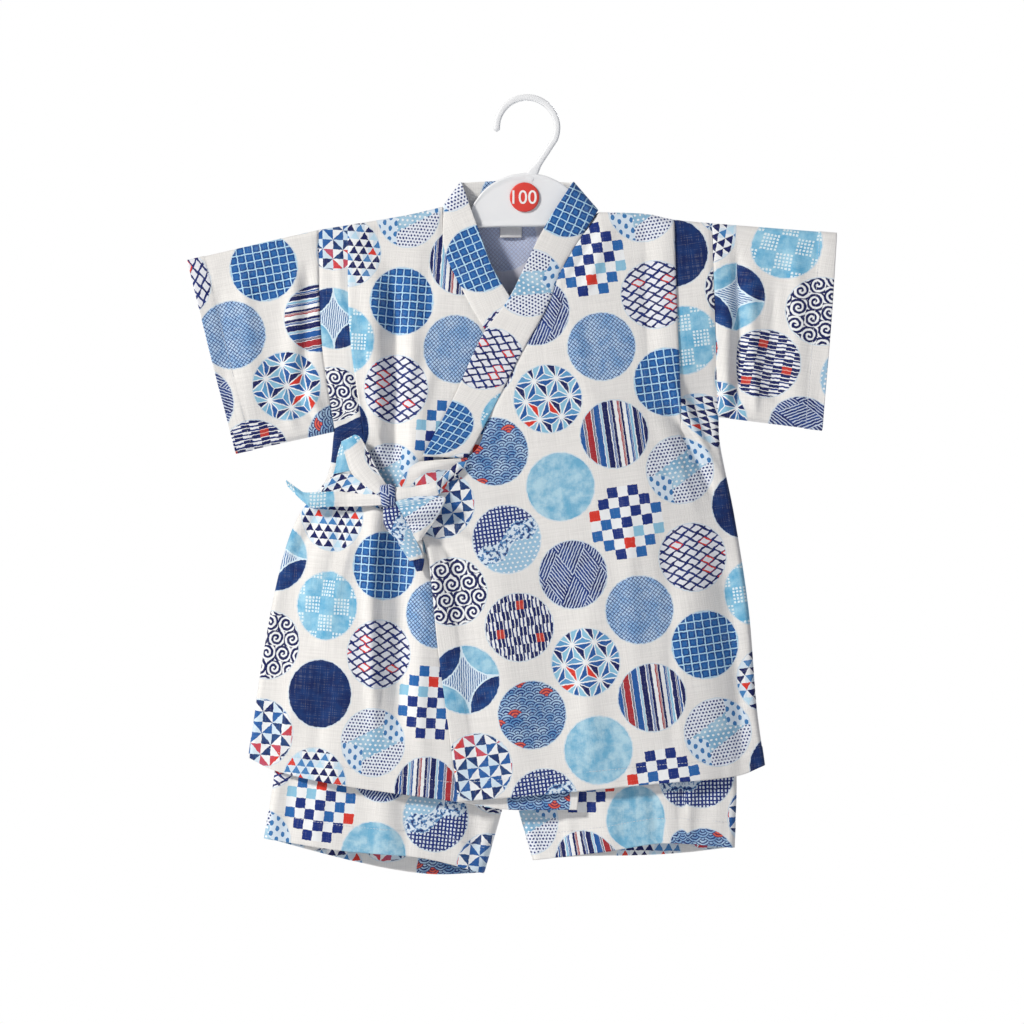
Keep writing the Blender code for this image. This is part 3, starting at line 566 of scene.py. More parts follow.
for method, operation in {
    "__add__": "ADD", "__radd__": "ADD", "__sub__": "SUBTRACT", "__mul__": "MULTIPLY",
    "__rmul__": "MULTIPLY", "__truediv__": "DIVIDE", "__lt__": "LESS_THAN", "__gt__": "GREATER_THAN",
    "floor": "FLOOR", "fract": "FRACT", "abs": "ABSOLUTE", "low": "MINIMUM", "high": "MAXIMUM",
    "sine": "SINE",
}.items():
    setattr(Num, method, functools.partialmethod(Num.op, operation))


def length_of(x, y):
    return (x * x + y * y).op("SQRT")


def either(a, b):
    return a.high(b)


def both(a, b):
    return a * b


def choose(pick, one, zero):
    """one where pick is 1 and zero where it is 0, for numbers."""
    return zero + pick * (one - zero)


def vector(x, y):
    node = x.tree.nodes.new("ShaderNodeCombineXYZ")
    for slot, value in zip(node.inputs, (x, y)):
        x.tree.links.new(value.socket, slot)
    return node.outputs[0]


def noise(x, y, detail=2.0, roughness=0.5):
    node = x.tree.nodes.new("ShaderNodeTexNoise")
    node.noise_dimensions = "2D"
    for name, value in (("Scale", 1.0), ("Detail", detail), ("Roughness", roughness)):
        node.inputs[name].default_value = value
    x.tree.links.new(vector(x, y), node.inputs["Vector"])
    return Num(x.tree, node.outputs[0])


def chance(x, y):
    """A random number for each whole x and y."""
    node = x.tree.nodes.new("ShaderNodeTexWhiteNoise")
    node.noise_dimensions = "2D"
    x.tree.links.new(vector(x, y), node.inputs["Vector"])
    return Num(x.tree, node.outputs["Value"])


def mix(pick, zero, one, tree=None):
    """Colour zero where pick is 0 and colour one where it is 1; a colour is a socket or a hex code."""
    tree = tree or pick.tree
    node = tree.nodes.new("ShaderNodeMix")
    node.data_type = "RGBA"
    if isinstance(pick, Num):
        tree.links.new(pick.socket, node.inputs[0])
    else:
        node.inputs[0].default_value = pick
    for slot, colour in ((node.inputs[6], zero), (node.inputs[7], one)):
        if isinstance(colour, str):
            slot.default_value = rgb(colour)
        else:
            tree.links.new(colour, slot)
    return node.outputs[2]


# ---------------------------------------------------------------- the print: discs of eighteen motifs

CREAM = "F0EEE9"
WHITE = "EFF2F5"
NAVY = "141F5C"
INK = "1A3078"
BLUE = "2459A0"
MID = "4380BC"
LIGHT = "8CC2DE"
PALE = "BCDDF0"
RED = "D8392E"
DARK_RED = "A42B35"


def spots(x, y, across, down, size):
    """1 in spots in staggered rows."""
    row = y / down
    return length_of((x / across + 0.5 * row.floor().odd()).tri(), row.fract() - 0.5) < size


def steps(pick, first, *others):
    """The first colour, and each other one where pick is past its share."""
    for share, colour in others:
        first = mix(pick > share, first, colour)
    return first


def light_plain(x, y, wash):
    return mix(wash, "6FB1D4", "B4D9EA")


def navy_plain(x, y, wash):
    return mix(wash, "0A2259", "12356F")


def hatch(x, y, wash):
    u, v = x * 0.87 + y * 0.5, x * 0.87 - y * 0.5
    turn = ((u / 16.5).floor() + (v / 20.0).floor()).odd()
    line = (choose(turn, u, v) / 2.1).fract() < 0.64
    return mix(line, "C9D6EA", mix(wash, "141F5E", "28468C"))


def asanoha(x, y, wash):
    """Hemp leaves: triangles, each cut into three about its middle."""
    rise = 14.5
    u = y / rise
    v = (x * 0.866 - y * 0.5) / rise
    w = (x * 0.866 + y * 0.5) / -rise
    a, b, c = u.fract(), v.fract(), w.fract()
    up = (a + b + c) > 1.5
    a, b, c = (choose(up, 1.0 - f, f) for f in (a, b, c))
    least = a.low(b).low(c)
    most = a.high(b).high(c)
    middle = 1.0 - least - most
    edge = either(least < 0.034, (middle - least) < 0.045)
    first = (a - least) < 0.0001
    second = (b - least) < 0.0001
    facet = mix(first, mix(second, LIGHT, NAVY), BLUE)
    turned = mix(first, mix(second, BLUE, LIGHT), "5E9CCB")
    facet = mix(up, facet, turned)
    odd_one = chance(u.floor() + first * 7.0, v.floor() + second * 5.0) > 0.9
    return mix(edge, mix(odd_one, facet, RED), WHITE)


def checker_cell(x, y):
    return (x / CHECK + 0.5).floor(), (y / CHECK + 0.5).floor()


def checker(x, y, wash):
    i, j = checker_cell(x, y)
    draw = chance(i * 1.7 + 3.0, j * 2.3)
    colour = steps(draw, "2766AC", (0.4, "16307C"), (0.66, LIGHT), (0.79, RED))
    return mix((i + j).odd(), colour, WHITE)


def checker_inside(x, y):
    """The checked disc keeps whole squares."""
    i, j = checker_cell(x, y)
    return length_of(i * CHECK, j * CHECK) < 25.4


def crosshatch(x, y, wash):
    u, v = ((x + y) / 3.2).tri(), ((x - y) / 3.2).tri()
    line = either(u < 0.11, v < 0.11)
    return mix(line, mix(wash, "8BB6E2", "BAD5F1"), "26427F")


def stripes(x, y, wash):
    across = x + 1.1 * (x * 0.9).sine()
    cell = (across / 3.3).floor()
    kind = cell - (cell / 7.0).floor() * 7.0
    colour = NAVY
    for number, ink in ((1.0, DARK_RED), (3.0, BLUE), (4.0, LIGHT), (6.0, BLUE)):
        colour = mix(kind.close_to(number), colour, ink)
    # A thin white line along one side of each stripe, and a wider one down some of them.
    colour = mix((across / 3.3).fract() < 0.22, colour, WHITE)
    return mix(both(cell.odd(), ((across / 3.3).fract() - 0.62).abs() < 0.06), colour, WHITE)


def net_line(x, y):
    across = x + 0.7 * (y * 0.9).sine()
    a = (across / 11.0 + y / 7.0).tri()
    b = (across / 11.0 - y / 7.0).tri()
    return either(a < 0.125, b < 0.125)


def net(x, y, wash):
    some = chance((x / 11.0 + y / 7.0).floor(), (x / 11.0 - y / 7.0).floor()) > 0.88
    colour = mix(some, mix(wash, NAVY, INK), RED)
    return mix(net_line(x, y), "E6E9F1", colour)


def grid_motif(x, y, wash):
    a, b = (x / 6.2).tri(), (y / 6.2).tri()
    line = either(a < 0.07, b < 0.07)
    inner = a.low(b) > 0.26
    square = mix(inner, mix(wash, "154282", "1F5AA2"), "2A69AC")
    return mix(line, square, "B4DBF3")


def mixed_a(x, y, wash):
    """A slanting pale band of white spots between navy dots, with blue drops at two corners."""
    drops = length_of((x / 4.6).tri(), (y / 8.0 + 0.5 * (x / 4.6).op("ROUND").odd()).tri() * 1.25) < 0.32
    slope = x * 0.55 + y
    band = mix(spots(x, y, 4.0, 3.4, 0.24), mix(wash, "7DAED0", "A9CCE2"), WHITE)
    dotted = mix(spots(x, y, 2.6, 2.5, 0.3), "E4EAF4", "1B2F73")
    dropped = mix(drops, "D6E5F3", "3A78B4")
    corner = (x * y * -1.0 > 40.0) * (x.abs() > 8.0)
    colour = mix((slope.abs()) > 10.0, band, dotted)
    return mix(corner, colour, dropped)


def kasuri(x, y, wash):
    patch_here = ((x / 12.7 + 0.5).floor() + (y / 12.7 + 0.5).floor()).odd()
    dots = ((x / 2.6).tri() < 0.31) * ((y / 2.6).tri() < 0.31)
    ground_colour = mix(wash, "64B0D8", "9FD2EA")
    return mix(both(patch_here, dots), ground_colour, "E2F1F8")


def triangles(x, y, wash):
    j = (y / 5.6).floor()
    across = x / 7.6 + 0.5 * j.odd()
    i = across.floor()
    fx, fy = across.fract(), (y / 5.6).fract()
    inside = (fx - 0.5).abs() < (1.0 - fy) * 0.47
    draw = chance(i, j)
    colour = steps(draw, NAVY, (0.52, MID), (0.7, PALE), (0.94, RED))
    return mix(inside, mix(draw > 0.5, WHITE, "D5E4F1"), colour)


def shippo(x, y, wash):
    """Four lenses round a curved square, as where rings interlock."""
    reach = 25.4
    d = length_of(x.abs() - reach, y.abs() - reach)
    lens = d < reach
    line = (d - reach).abs() < 0.6
    dark = (x * y) > 0.0
    stroke = ((x * 1.0 + y * 0.12) / 1.7).fract() < 0.42
    heart = mix(stroke * (length_of(x, y) < 17.0), "D9E8F4", "3568A6")
    fill = mix(dark, mix(wash, "62A8CF", "A6D2E6"), mix(wash, "0D2660", "1C4786"))
    return mix(line, mix(lens, heart, fill), "D5E9F6")


def pinwheel(x, y, wash):
    i, j = (x / 16.4 + 0.5).floor(), (y / 16.4 + 0.5).floor()
    fx, fy = x / 16.4 - i, y / 16.4 - j
    steep = fy.abs() > fx.abs()
    turn = (steep + (fx > 0.0) + (fy > 0.0)).odd()
    draw = chance(i + (fx > 0.0) * 3.0, j + steep * 5.0 + (fy > 0.0) * 2.0)
    colour = steps(draw, NAVY, (0.5, BLUE), (0.9, RED))
    return mix(turn, mix(draw > 0.6, WHITE, "D3E5F3"), mix(wash * 0.3, colour, MID))


def swirl(x, y, wash):
    row = (y / 11.4).floor()
    shifted = 0.5 * row.odd()
    column = (x / 13.0 + shifted).floor()
    fx = x - (column + 0.5 - shifted) * 13.0
    fy = y - (row + 0.5) * 11.4
    angle = fy.op("ARCTAN2", fx)
    far = length_of(fx, fy)
    start = chance(column, row)
    line = (far / 3.5 + angle / TURN + start).fract() < 0.53
    return mix(line, WHITE, "151E57")


def wave(x, y, row):
    """Distance to the middle of the nearest wave of a row, and the number of that wave."""
    shifted = 0.5 * row.odd()
    number = (x / WAVE - shifted).op("ROUND")
    return length_of(x - (number + shifted) * WAVE, y - row * WAVE_RISE), number


def seigaiha(x, y, wash):
    """Blue waves: rows of rings, each row before the one above it, and a few of them red."""
    row = (y / WAVE_RISE).floor()
    (far, a), (near, b), (nearest, c) = (wave(x, y, row + k) for k in (1.0, 2.0, 3.0))
    half = WAVE / 2
    use_near, use_nearest = near < half, nearest < half
    d = choose(use_nearest, nearest, choose(use_near, near, far))
    number = choose(use_nearest, c, choose(use_near, b, a))
    level = row + choose(use_nearest, 3.0, choose(use_near, 2.0, 1.0))
    line = (d / 2.1 + 0.2).fract() < 0.45
    hump = chance(number * 1.3 + 9.0, level * 1.1) > 0.955
    light = mix(hump, mix(wash, "5A90C4", "B4D2EA"), "E0604E")
    return mix(line, light, mix(hump, "1A3074", "7A2C4C"))


def mixed_b(x, y, wash):
    """Navy checks fading into a washed middle, and a pale corner of white spots."""
    checks = either((x / 2.9).tri() < 0.25, (y / 2.9).tri() < 0.2)
    upper = mix(checks, "DCE6F2", "1D3379")
    pale = mix(spots(x, y, 3.8, 3.3, 0.22), "9CC3DE", WHITE)
    blots = noise(x * 0.32, y * 0.32, detail=2.0)
    middle = steps(blots, "D8E5F1", (0.5, "5E8CBE"), (0.62, "20356F"))
    slope = y + x * 0.6 + 3.0 * (x * 0.25).sine()
    return steps(slope, upper, (-5.0, middle), (9.0, pale))


def bricks(x, y, wash):
    """Blocks of upright strokes, thick and thin by turns, a few of them red."""
    across = x + 0.2 * (y * 0.33).sine()
    row = (y / 6.6).floor()
    block = (across / 5.8).floor()
    bar = (across / 2.9).fract()
    dense = mix(bar < 0.8, WHITE, "14225F")
    sparse = mix(bar < 0.42, WHITE, INK)
    colour = mix((row + block).odd(), dense, sparse)
    for red_block, red_row in ((0.0, -3.0), (-3.0, 0.0), (2.0, 1.0)):
        here = block.close_to(red_block) * row.close_to(red_row)
        colour = mix(here, colour, mix(bar < 0.8, "E8A79A", "C23A34"))
    return colour


# Motifs by column and row of the repeat.
MOTIFS = (
    (light_plain, hatch, asanoha),
    (checker, crosshatch, stripes),
    (net, grid_motif, mixed_a),
    (kasuri, triangles, navy_plain),
    (shippo, pinwheel, swirl),
    (seigaiha, mixed_b, bricks),
)


def print_group():
    """Node group of the printed cotton: its colour, and the height of its weave, in fabric millimetres."""
    t = bpy.data.node_groups.new("Circle print", "ShaderNodeTree")
    t.interface.new_socket("Colour", in_out="OUTPUT", socket_type="NodeSocketColor")
    t.interface.new_socket("Weave", in_out="OUTPUT", socket_type="NodeSocketFloat")
    place = t.nodes.new("ShaderNodeUVMap")
    place.uv_map = "Fabric"
    split = t.nodes.new("ShaderNodeSeparateXYZ")
    t.links.new(place.outputs[0], split.inputs[0])
    s, d = Num(t, split.outputs[0]) * 100.0, Num(t, split.outputs[1]) * 100.0

    wobble_s = noise(s * 0.33, d * 0.33, detail=1.0) - 0.5
    wobble_d = noise(s * 0.33 + 40.0, d * 0.33 + 9.0, detail=1.0) - 0.5
    ws, wd = s + wobble_s * 1.0, d + wobble_d * 1.0

    column = (ws / COLUMN_STEP).floor()
    column_next = column + 1.0
    found = []
    for i in (column, column_next):
        j = ((wd - i * COLUMN_DROP) / ROW_STEP).op("ROUND")
        x = ws - i * COLUMN_STEP
        y = wd - i * COLUMN_DROP - j * ROW_STEP
        found.append((i, j, x, y, length_of(x, y)))
    nearer = found[1][4] < found[0][4]
    i, j, x, y, far = (choose(nearer, b, a) for a, b in zip(*found))
    column_of = i - (i / 6.0).floor() * 6.0
    row_of = j - (j / 3.0).floor() * 3.0
    index = (column_of * 3.0 + row_of).op("ROUND")

    wash = noise(s * 0.085, d * 0.085, detail=4.0, roughness=0.62)
    wash = ((wash - 0.34) * 3.2).high(0.0).low(1.0)
    colour = LIGHT
    k = 0
    for motifs in MOTIFS:
        for motif in motifs:
            drawn = motif(x, y, wash)
            colour = mix(index.close_to(float(k)), colour, drawn) if k else drawn
            k += 1
    inside = far < DISC_RADIUS
    is_checker = index.close_to(3.0)
    inside = choose(is_checker, checker_inside(x, y), inside)
    halo = both(both(far > DISC_RADIUS, far < DISC_RADIUS + 0.8), 1.0 - is_checker)

    # Slubs: single thick threads, both ways of the weave.
    slub_d = noise(s * 1.15, d * 0.035, detail=2.0, roughness=0.6)
    slub_s = noise(s * 0.03 + 7.0, d * 1.3, detail=2.0, roughness=0.6)
    weave = (slub_d - 0.5) + (slub_s - 0.5)
    thread = (s * TURN / 0.62).sine() * (d * TURN / 0.62).sine()
    ground = mix((weave * 1.6 + 0.5).high(0.0).low(1.0), "E3E2E0", "F0EFED")
    ground = mix(halo * 0.5, ground, "BBD6EC")
    cloth = mix(inside, ground, colour)
    # Ink sits thinner on the thick threads.
    thin = ((weave - 0.12) * 0.8).high(0.0).low(0.07)
    cloth = mix(thin, cloth, CREAM)
    end = t.nodes.new("NodeGroupOutput")
    t.links.new(cloth, end.inputs["Colour"])
    t.links.new((weave * 0.6 + thread * 0.12).socket, end.inputs["Weave"])
    return t


def plain_material(name, colour, **settings):
    """Material, tree and shader; settings name the shader's inputs, _ for a space."""
    material = bpy.data.materials.new(name)
    material.use_nodes = True
    shader = material.node_tree.nodes["Principled BSDF"]
    shader.inputs["Base Color"].default_value = rgb(colour)
    for setting, value in settings.items():
        shader.inputs[setting.replace("_", " ")].default_value = value
    return material, material.node_tree, shader


def toned_material(name, dark, pale, scale, detail=3.0, **settings):
    """A material whose colour wanders between two."""
    material, tree, shader = plain_material(name, dark, **settings)
    tree.links.new(mix(noise_3d(tree, scale, detail), dark, pale), shader.inputs["Base Color"])
    return material, tree, shader


def bump(tree, shader, height, strength, distance):
    node = tree.nodes.new("ShaderNodeBump")
    node.inputs["Strength"].default_value = strength
    node.inputs["Distance"].default_value = distance
    tree.links.new(height, node.inputs["Height"])
    tree.links.new(node.outputs[0], shader.inputs["Normal"])


def cotton_material(name, group, wrong_side=False):
    material, tree, shader = plain_material(
        name, CREAM, Roughness=0.86, Sheen_Weight=0.12, Sheen_Roughness=0.5, Specular_IOR_Level=0.25
    )
    node = tree.nodes.new("ShaderNodeGroup")
    node.node_tree = group
    colour = node.outputs["Colour"]
    if wrong_side:
        colour = mix(0.62, colour, "D5D7EE", tree)
    tree.links.new(colour, shader.inputs["Base Color"])
    bump(tree, shader, node.outputs["Weave"], 0.5, 0.0006)
    return material


def object_place(tree, scale):
    """Object coordinates in millimetres, times a scale."""
    place = tree.nodes.new("ShaderNodeTexCoord")
    node = tree.nodes.new("ShaderNodeVectorMath")
    node.operation = "SCALE"
    node.inputs["Scale"].default_value = scale / MM
    tree.links.new(place.outputs["Object"], node.inputs[0])
    return node.outputs[0]


def noise_3d(tree, scale, detail=3.0):
    node = tree.nodes.new("ShaderNodeTexNoise")
    node.inputs["Scale"].default_value = 1.0
    node.inputs["Detail"].default_value = detail
    tree.links.new(object_place(tree, scale), node.inputs["Vector"])
    return Num(tree, node.outputs[0])


def plastic_material():
    """Polystyrene: slightly uneven, with fine mould grain."""
    material, tree, shader = toned_material(
        "Plastic_white", "E9ECF0", "F2F4F6", 0.05,
        Subsurface_Weight=0.08, Subsurface_Radius=(0.002, 0.002, 0.002),
    )
    tree.links.new((0.24 + noise_3d(tree, 0.4) * 0.16).socket, shader.inputs["Roughness"])
    bump(tree, shader, noise_3d(tree, 0.9).socket, 0.08, 0.0003)
    return material


def sticker_material(name, dark, pale, roughness):
    material, tree, shader = toned_material(name, dark, pale, 0.25)
    tree.links.new((roughness + noise_3d(tree, 0.6) * 0.08).socket, shader.inputs["Roughness"])
    return material


def label_material():
    """Blank woven tape: fine rows of thread."""
    material, tree, shader = toned_material("Label_tape", "E2E2E6", "F6F6F6", 0.5, Roughness=0.8)
    split = tree.nodes.new("ShaderNodeSeparateXYZ")
    tree.links.new(object_place(tree, 1.0), split.inputs[0])
    rows = (Num(tree, split.outputs[2]) * TURN / 0.5).sine()
    bump(tree, shader, rows.socket, 0.25, 0.0002)
    return material


# ---------------------------------------------------------------- cloth

# Millimetres in one level: of the top at its shoulder, in its middle and at its hem, then of the shorts
# above the crotch, below it and at their hem.
SHOULDER_LEVEL = 38.0
BODY_LEVEL = 40.0
HEM_LEVEL = 44.0
SHORTS_LEVEL = 28.0
LEG_LEVEL = 32.0
LEG_HEM_LEVEL = 36.0
LAST_LEVEL = 10
# Places of a hem's rows, from its edge to just past its stitches.
HEM_ROWS = np.array([0, 1, 2.5, 5, 8, 11, 12.6, 13.6, 14.3, 15, 16.5])
LEG_HEM_ROWS = np.array([0, 1, 2.5, 5, 8, 11, 14, 17, 18.4, 19.4, 20.4, 22])
HEM_DEEP = 15.0
LEG_HEM_DEEP = 20.0
CUFF_DEEP = 14.0
SINGLE = 0.5


def distance_to(lines, xz):
    """Distance of points (..., 2) to the nearest of some lines."""
    return from_fold(lines, xz) + ON_FOLD


def groove(lines, xz, deep=0.9, half=2.2):
    """A seam or a row of stitches draws the cloth in."""
    return -deep * bell(distance_to(lines, xz), half)


def fabric_place(name, xz, shift=(0.0, 0.0), mirrored=False):
    """Where points of a piece lie on the printed cloth, in millimetres: (..., 2).

    shift is how much cloth, across and down, lies hidden between a point and the middle of the piece.
    """
    ax, az, i, j, turn, shorten = PRINT_PLACES[name]
    right = (xz[..., 0] - ax) / shorten + shift[0]
    u, v = turned(-right if mirrored else right, az - xz[..., 1] + shift[1], -turn)
    return np.stack([u + COLUMN_STEP * i, v + COLUMN_DROP * i + ROW_STEP * j], -1)


def link(obj):
    bpy.context.scene.collection.objects.link(obj)
    return obj


def new_object(name, vertices, faces, materials, uvs=None):
    """A smooth mesh object from points in millimetres; uvs gives fabric millimetres for each corner."""
    mesh = bpy.data.meshes.new(name)
    mesh.from_pydata((np.reshape(vertices, (-1, 3)) * MM).tolist(), [], faces)
    if uvs is not None:
        layer = mesh.uv_layers.new(name="Fabric")
        layer.data.foreach_set("uv", (np.asarray(uvs, float) / 100).ravel())
    mesh.shade_smooth()
    for material in materials:
        mesh.materials.append(material)
    return link(bpy.data.objects.new(name, mesh))


def thicken(obj, thickness):
    solid = obj.modifiers.new("Cloth", "SOLIDIFY")
    solid.thickness = thickness * MM
    solid.offset = 0.0
    return solid


def cloth(name, points, fabric, layers=None, ring=False):
    """A piece of cloth from rows of points, seen from outside with columns to the right and rows down.

    layers is the share of doubled thickness at each point: the wrong side of a hem is covered. A piece
    without layers is a folded band.
    """
    rows, count = points.shape[:2]
    band = layers is None
    if band:
        layers = np.full((rows, count), SINGLE)
    corners = np.concatenate(grid(rows, fabric.shape[1]))
    materials = (cotton, cotton_wrong, cotton, cotton)
    obj = new_object(name, points, grid(rows, count, ring), materials, fabric.reshape(-1, 2)[corners])
    covered_inside = (band | (layers > 0.9))[:-1, :count if ring else count - 1]
    obj.data.polygons.foreach_set("material_index", np.where(covered_inside.ravel(), 2, 0))
    group = obj.vertex_groups.new(name="Layers")
    for level in np.unique(np.round(layers, 2)):
        chosen = np.nonzero(np.round(layers, 2).ravel() == level)[0]
        group.add(chosen.tolist(), float(level), "REPLACE")
    solid = thicken(obj, 2 * (BAND if band else CLOTH))
    solid.vertex_group = "Layers"
    solid.material_offset = 1
    return obj


def body_levels(*corner_levels):
    """Levels of a panel's rows, close together at the shoulder fold and in the hem."""
    near = NEAR_FOLD / SHOULDER_LEVEL
    hem = LAST_LEVEL - HEM_ROWS[::-1] / HEM_LEVEL
    middle = np.linspace(near[-1], hem[0], int((hem[0] - near[-1]) * BODY_LEVEL / GRID))
    levels = np.unique(np.round(np.concatenate([near[:-1], middle, hem[1:], corner_levels]), 5))
    keep = np.concatenate([[True], np.diff(levels) > 0.008])
    for level in (4.0, *corner_levels):
        keep |= np.isclose(levels, level)
    return levels[keep]


def tuck_side(tuck, hidden_cloth, levels, fade):
    """Places, lifts and print shifts, (levels, columns), of the cloth from an armhole past its tuck."""
    start = fold_places(tuck - 6.5, True, False)
    flat = np.concatenate([start, tuck + np.array([row[0] for row in TUCK_PROFILE])])
    sewn = np.concatenate([start, tuck + np.array([row[1] for row in TUCK_PROFILE])])
    lift = np.concatenate([0 * start, [row[2] for row in TUCK_PROFILE]])
    hidden = np.concatenate([0 * start, [row[3] for row in TUCK_PROFILE]])
    f = fade[:, None]
    offset = (1 - f) * flat + f * sewn
    beyond = f * (1 - hidden)
    down = np.minimum(levels / 4, 1.0)[:, None]
    top, end, drop_top, drop_end = hidden_cloth
    shift = -(top + (end - top) * down) * beyond
    drop = -(drop_top + (drop_end - drop_top) * down) * beyond
    return offset, f * lift, shift, drop


def columns_for(levels, width, left_tuck=False, right_tuck=False):
    """Column places of a panel, (levels, columns), with the lift and the print shift of its tucks."""
    fade = 1 - smoothstep((levels - TUCK_END) / TUCK_FADE)
    sides = []
    for sewn, tuck, hidden in ((left_tuck, TUCK_RIGHT, HIDDEN_RIGHT), (right_tuck, TUCK_LEFT, HIDDEN_LEFT)):
        if sewn:
            sides.append(tuck_side(tuck, hidden, levels, fade))
        else:
            places = np.array([0, 1, 2.2, 4, 7, 10, 12, 13, 14, 15, 18.0])
            flat = np.broadcast_to(places, (len(levels), len(places)))
            sides.append((flat, 0 * flat, 0 * flat, 0 * flat))
    (a, lift_a, shift_a, drop_a), (b, lift_b, shift_b, drop_b) = sides
    count = int((width - a[0, -1] - b[0, -1]) / GRID)
    t = np.arange(1, count) / count
    middle = (1 - t) * a[:, -1:] - t * b[:, -1:]
    share = np.concatenate([np.zeros(a.shape[1]), t, np.ones(b.shape[1])])
    offset = np.concatenate([a, middle, -b[:, ::-1]], 1)
    lift = np.concatenate([lift_a, 0 * middle, lift_b[:, ::-1]], 1)
    shift = np.concatenate([shift_a, 0 * middle, -shift_b[:, ::-1]], 1)
    drop = np.concatenate([drop_a, 0 * middle, drop_b[:, ::-1]], 1)
    return share, offset, lift, (shift, drop)


def hidden_cloth(folds, xz):
    """How much cloth the sharp folds hide between each point and the far side of the piece."""
    total = 0 * xz[..., 0]
    for x0, z0, x1, z1, hidden in folds:
        along = np.array([x1 - x0, z1 - z0], float)
        length = np.hypot(*along)
        t = ((xz - (x0, z0)) @ along) / length**2
        beyond = ((xz[..., 0] - x0) * along[1] - (xz[..., 1] - z0) * along[0]) / length
        ends = smoothstep(t / 0.25) * smoothstep((1 - t) / 0.25)
        side = beyond if hidden < 0 else -beyond
        total = total + hidden * ends * smoothstep(side / 2.0 + 0.5) * np.exp(-np.maximum(side, 0) / 60.0)
    return total


def hem_layers(xz, *hems, deep=HEM_DEEP):
    """Doubled thickness inside hems, single elsewhere."""
    return np.where(distance_to(hems, xz) < deep - 0.6, 1.0, SINGLE)


def hem_stitch(xz, hem, deep=HEM_DEEP, strength=0.4):
    """The row of stitches of a hem: a fine groove, and slight puckers across it."""
    d = distance_to([hem], xz)
    pucker = 0.25 * np.sin(xz[..., 0] / 2.9 + 2 * np.sin(xz[..., 0] / 13)) * bell(d - deep * 0.5, deep)
    return pucker - strength * bell(d - deep + 1.0, 1.1)


def covered(xz):
    """1 where the right front lies under the left one, 0 where it shows."""
    x = np.interp(-xz[..., 1], -COVER_LINE[:, 1], COVER_LINE[:, 0])
    return smoothstep((xz[..., 0] - x + 3) / 9)


def front_right_place(xz, lift=0.0):
    # Under the left front the cloth lies flatter.
    pressed = covered(xz) * (np.maximum(folds_at(UNDER_FOLDS, xz), -2.0) + 0.8 * ripple(xz, 0.3) + 1.4)
    grooves = groove([ARMHOLE_LINE_RIGHT, UNDER_SEAM_LINE], xz)
    return top_place(xz, -1, UNDER_FOLDS, lift=lift + grooves - pressed, seed=0.3)


def front_left_place(xz, lift=0.0):
    grooves = groove([ARMHOLE_LINE_LEFT, OVER_SEAM_LINE], xz)
    return top_place(xz, -1, OVER_FOLDS, over=1.0, lift=lift + grooves, seed=1.7)


def back_place(xz, lift=0.0):
    grooves = groove([ARMHOLE_LINE_RIGHT, ARMHOLE_LINE_LEFT, NECKLINE_LINE], xz)
    return top_place(xz, 1, BACK_FOLDS, lift=lift + grooves, seed=4.1)


def panel(name, levels, edges, width, tucks, place, hidden=(), fronts=(), behind=False):
    """A front or the back, seen from outside. edges are its top, hem, left and right ones."""
    share, offset, lift, (across, down) = columns_for(levels, width, *tucks)
    xz = patch(*edges, share, offset, levels)
    hem = polyline(edges[1], steps=20)
    points = place(xz, lift + hem_stitch(xz, hem))
    fabric = fabric_place(name, xz, (across + hidden_cloth(hidden, xz), down), mirrored=behind)
    way = slice(None, None, -1 if behind else 1)
    return cloth(name, points[:, way], fabric[:, way], hem_layers(xz, hem, *fronts)[:, way])


def make_panels():
    outer_right, outer_left = ARMHOLE_RIGHT + SIDE_RIGHT, ARMHOLE_LEFT + SIDE_LEFT
    under = SHOULDER_RIGHT, HEM_UNDER, outer_right, UNDER_SEAM + UNDER_EDGE
    over = SHOULDER_LEFT, HEM_OVER, OVER_SEAM + OVER_CORNER + OVER_EDGE, outer_left
    width = SHOULDER_LEFT[-1][1] - SHOULDER_RIGHT[0][1]
    neck = [(foot[1] - SHOULDER_RIGHT[0][1]) / width for foot in (SHOULDER_RIGHT[-1], SHOULDER_LEFT[0])]
    stretches = (SHOULDER_RIGHT, 0, neck[0]), (NECKLINE, *neck), (SHOULDER_LEFT, neck[1], 1)
    top = [(first + u * (last - first), x, z) for edge, first, last in stretches for u, x, z in edge]
    return (
        panel(
            "Front_right", body_levels(3.7), under, 190.0, (True, False), front_right_place,
            hidden=UNDER_HIDDEN, fronts=(UNDER_EDGE_LINE,),
        ),
        panel(
            "Front_left", body_levels(4.9, 5.0, 5.6), over, 190.0, (False, True), front_left_place,
            fronts=(OVER_EDGE_LINE,),
        ),
        panel(
            "Back", body_levels(), (top, HEM_BACK, outer_right, outer_left), width, (True, True), back_place,
            behind=True,
        ),
    )


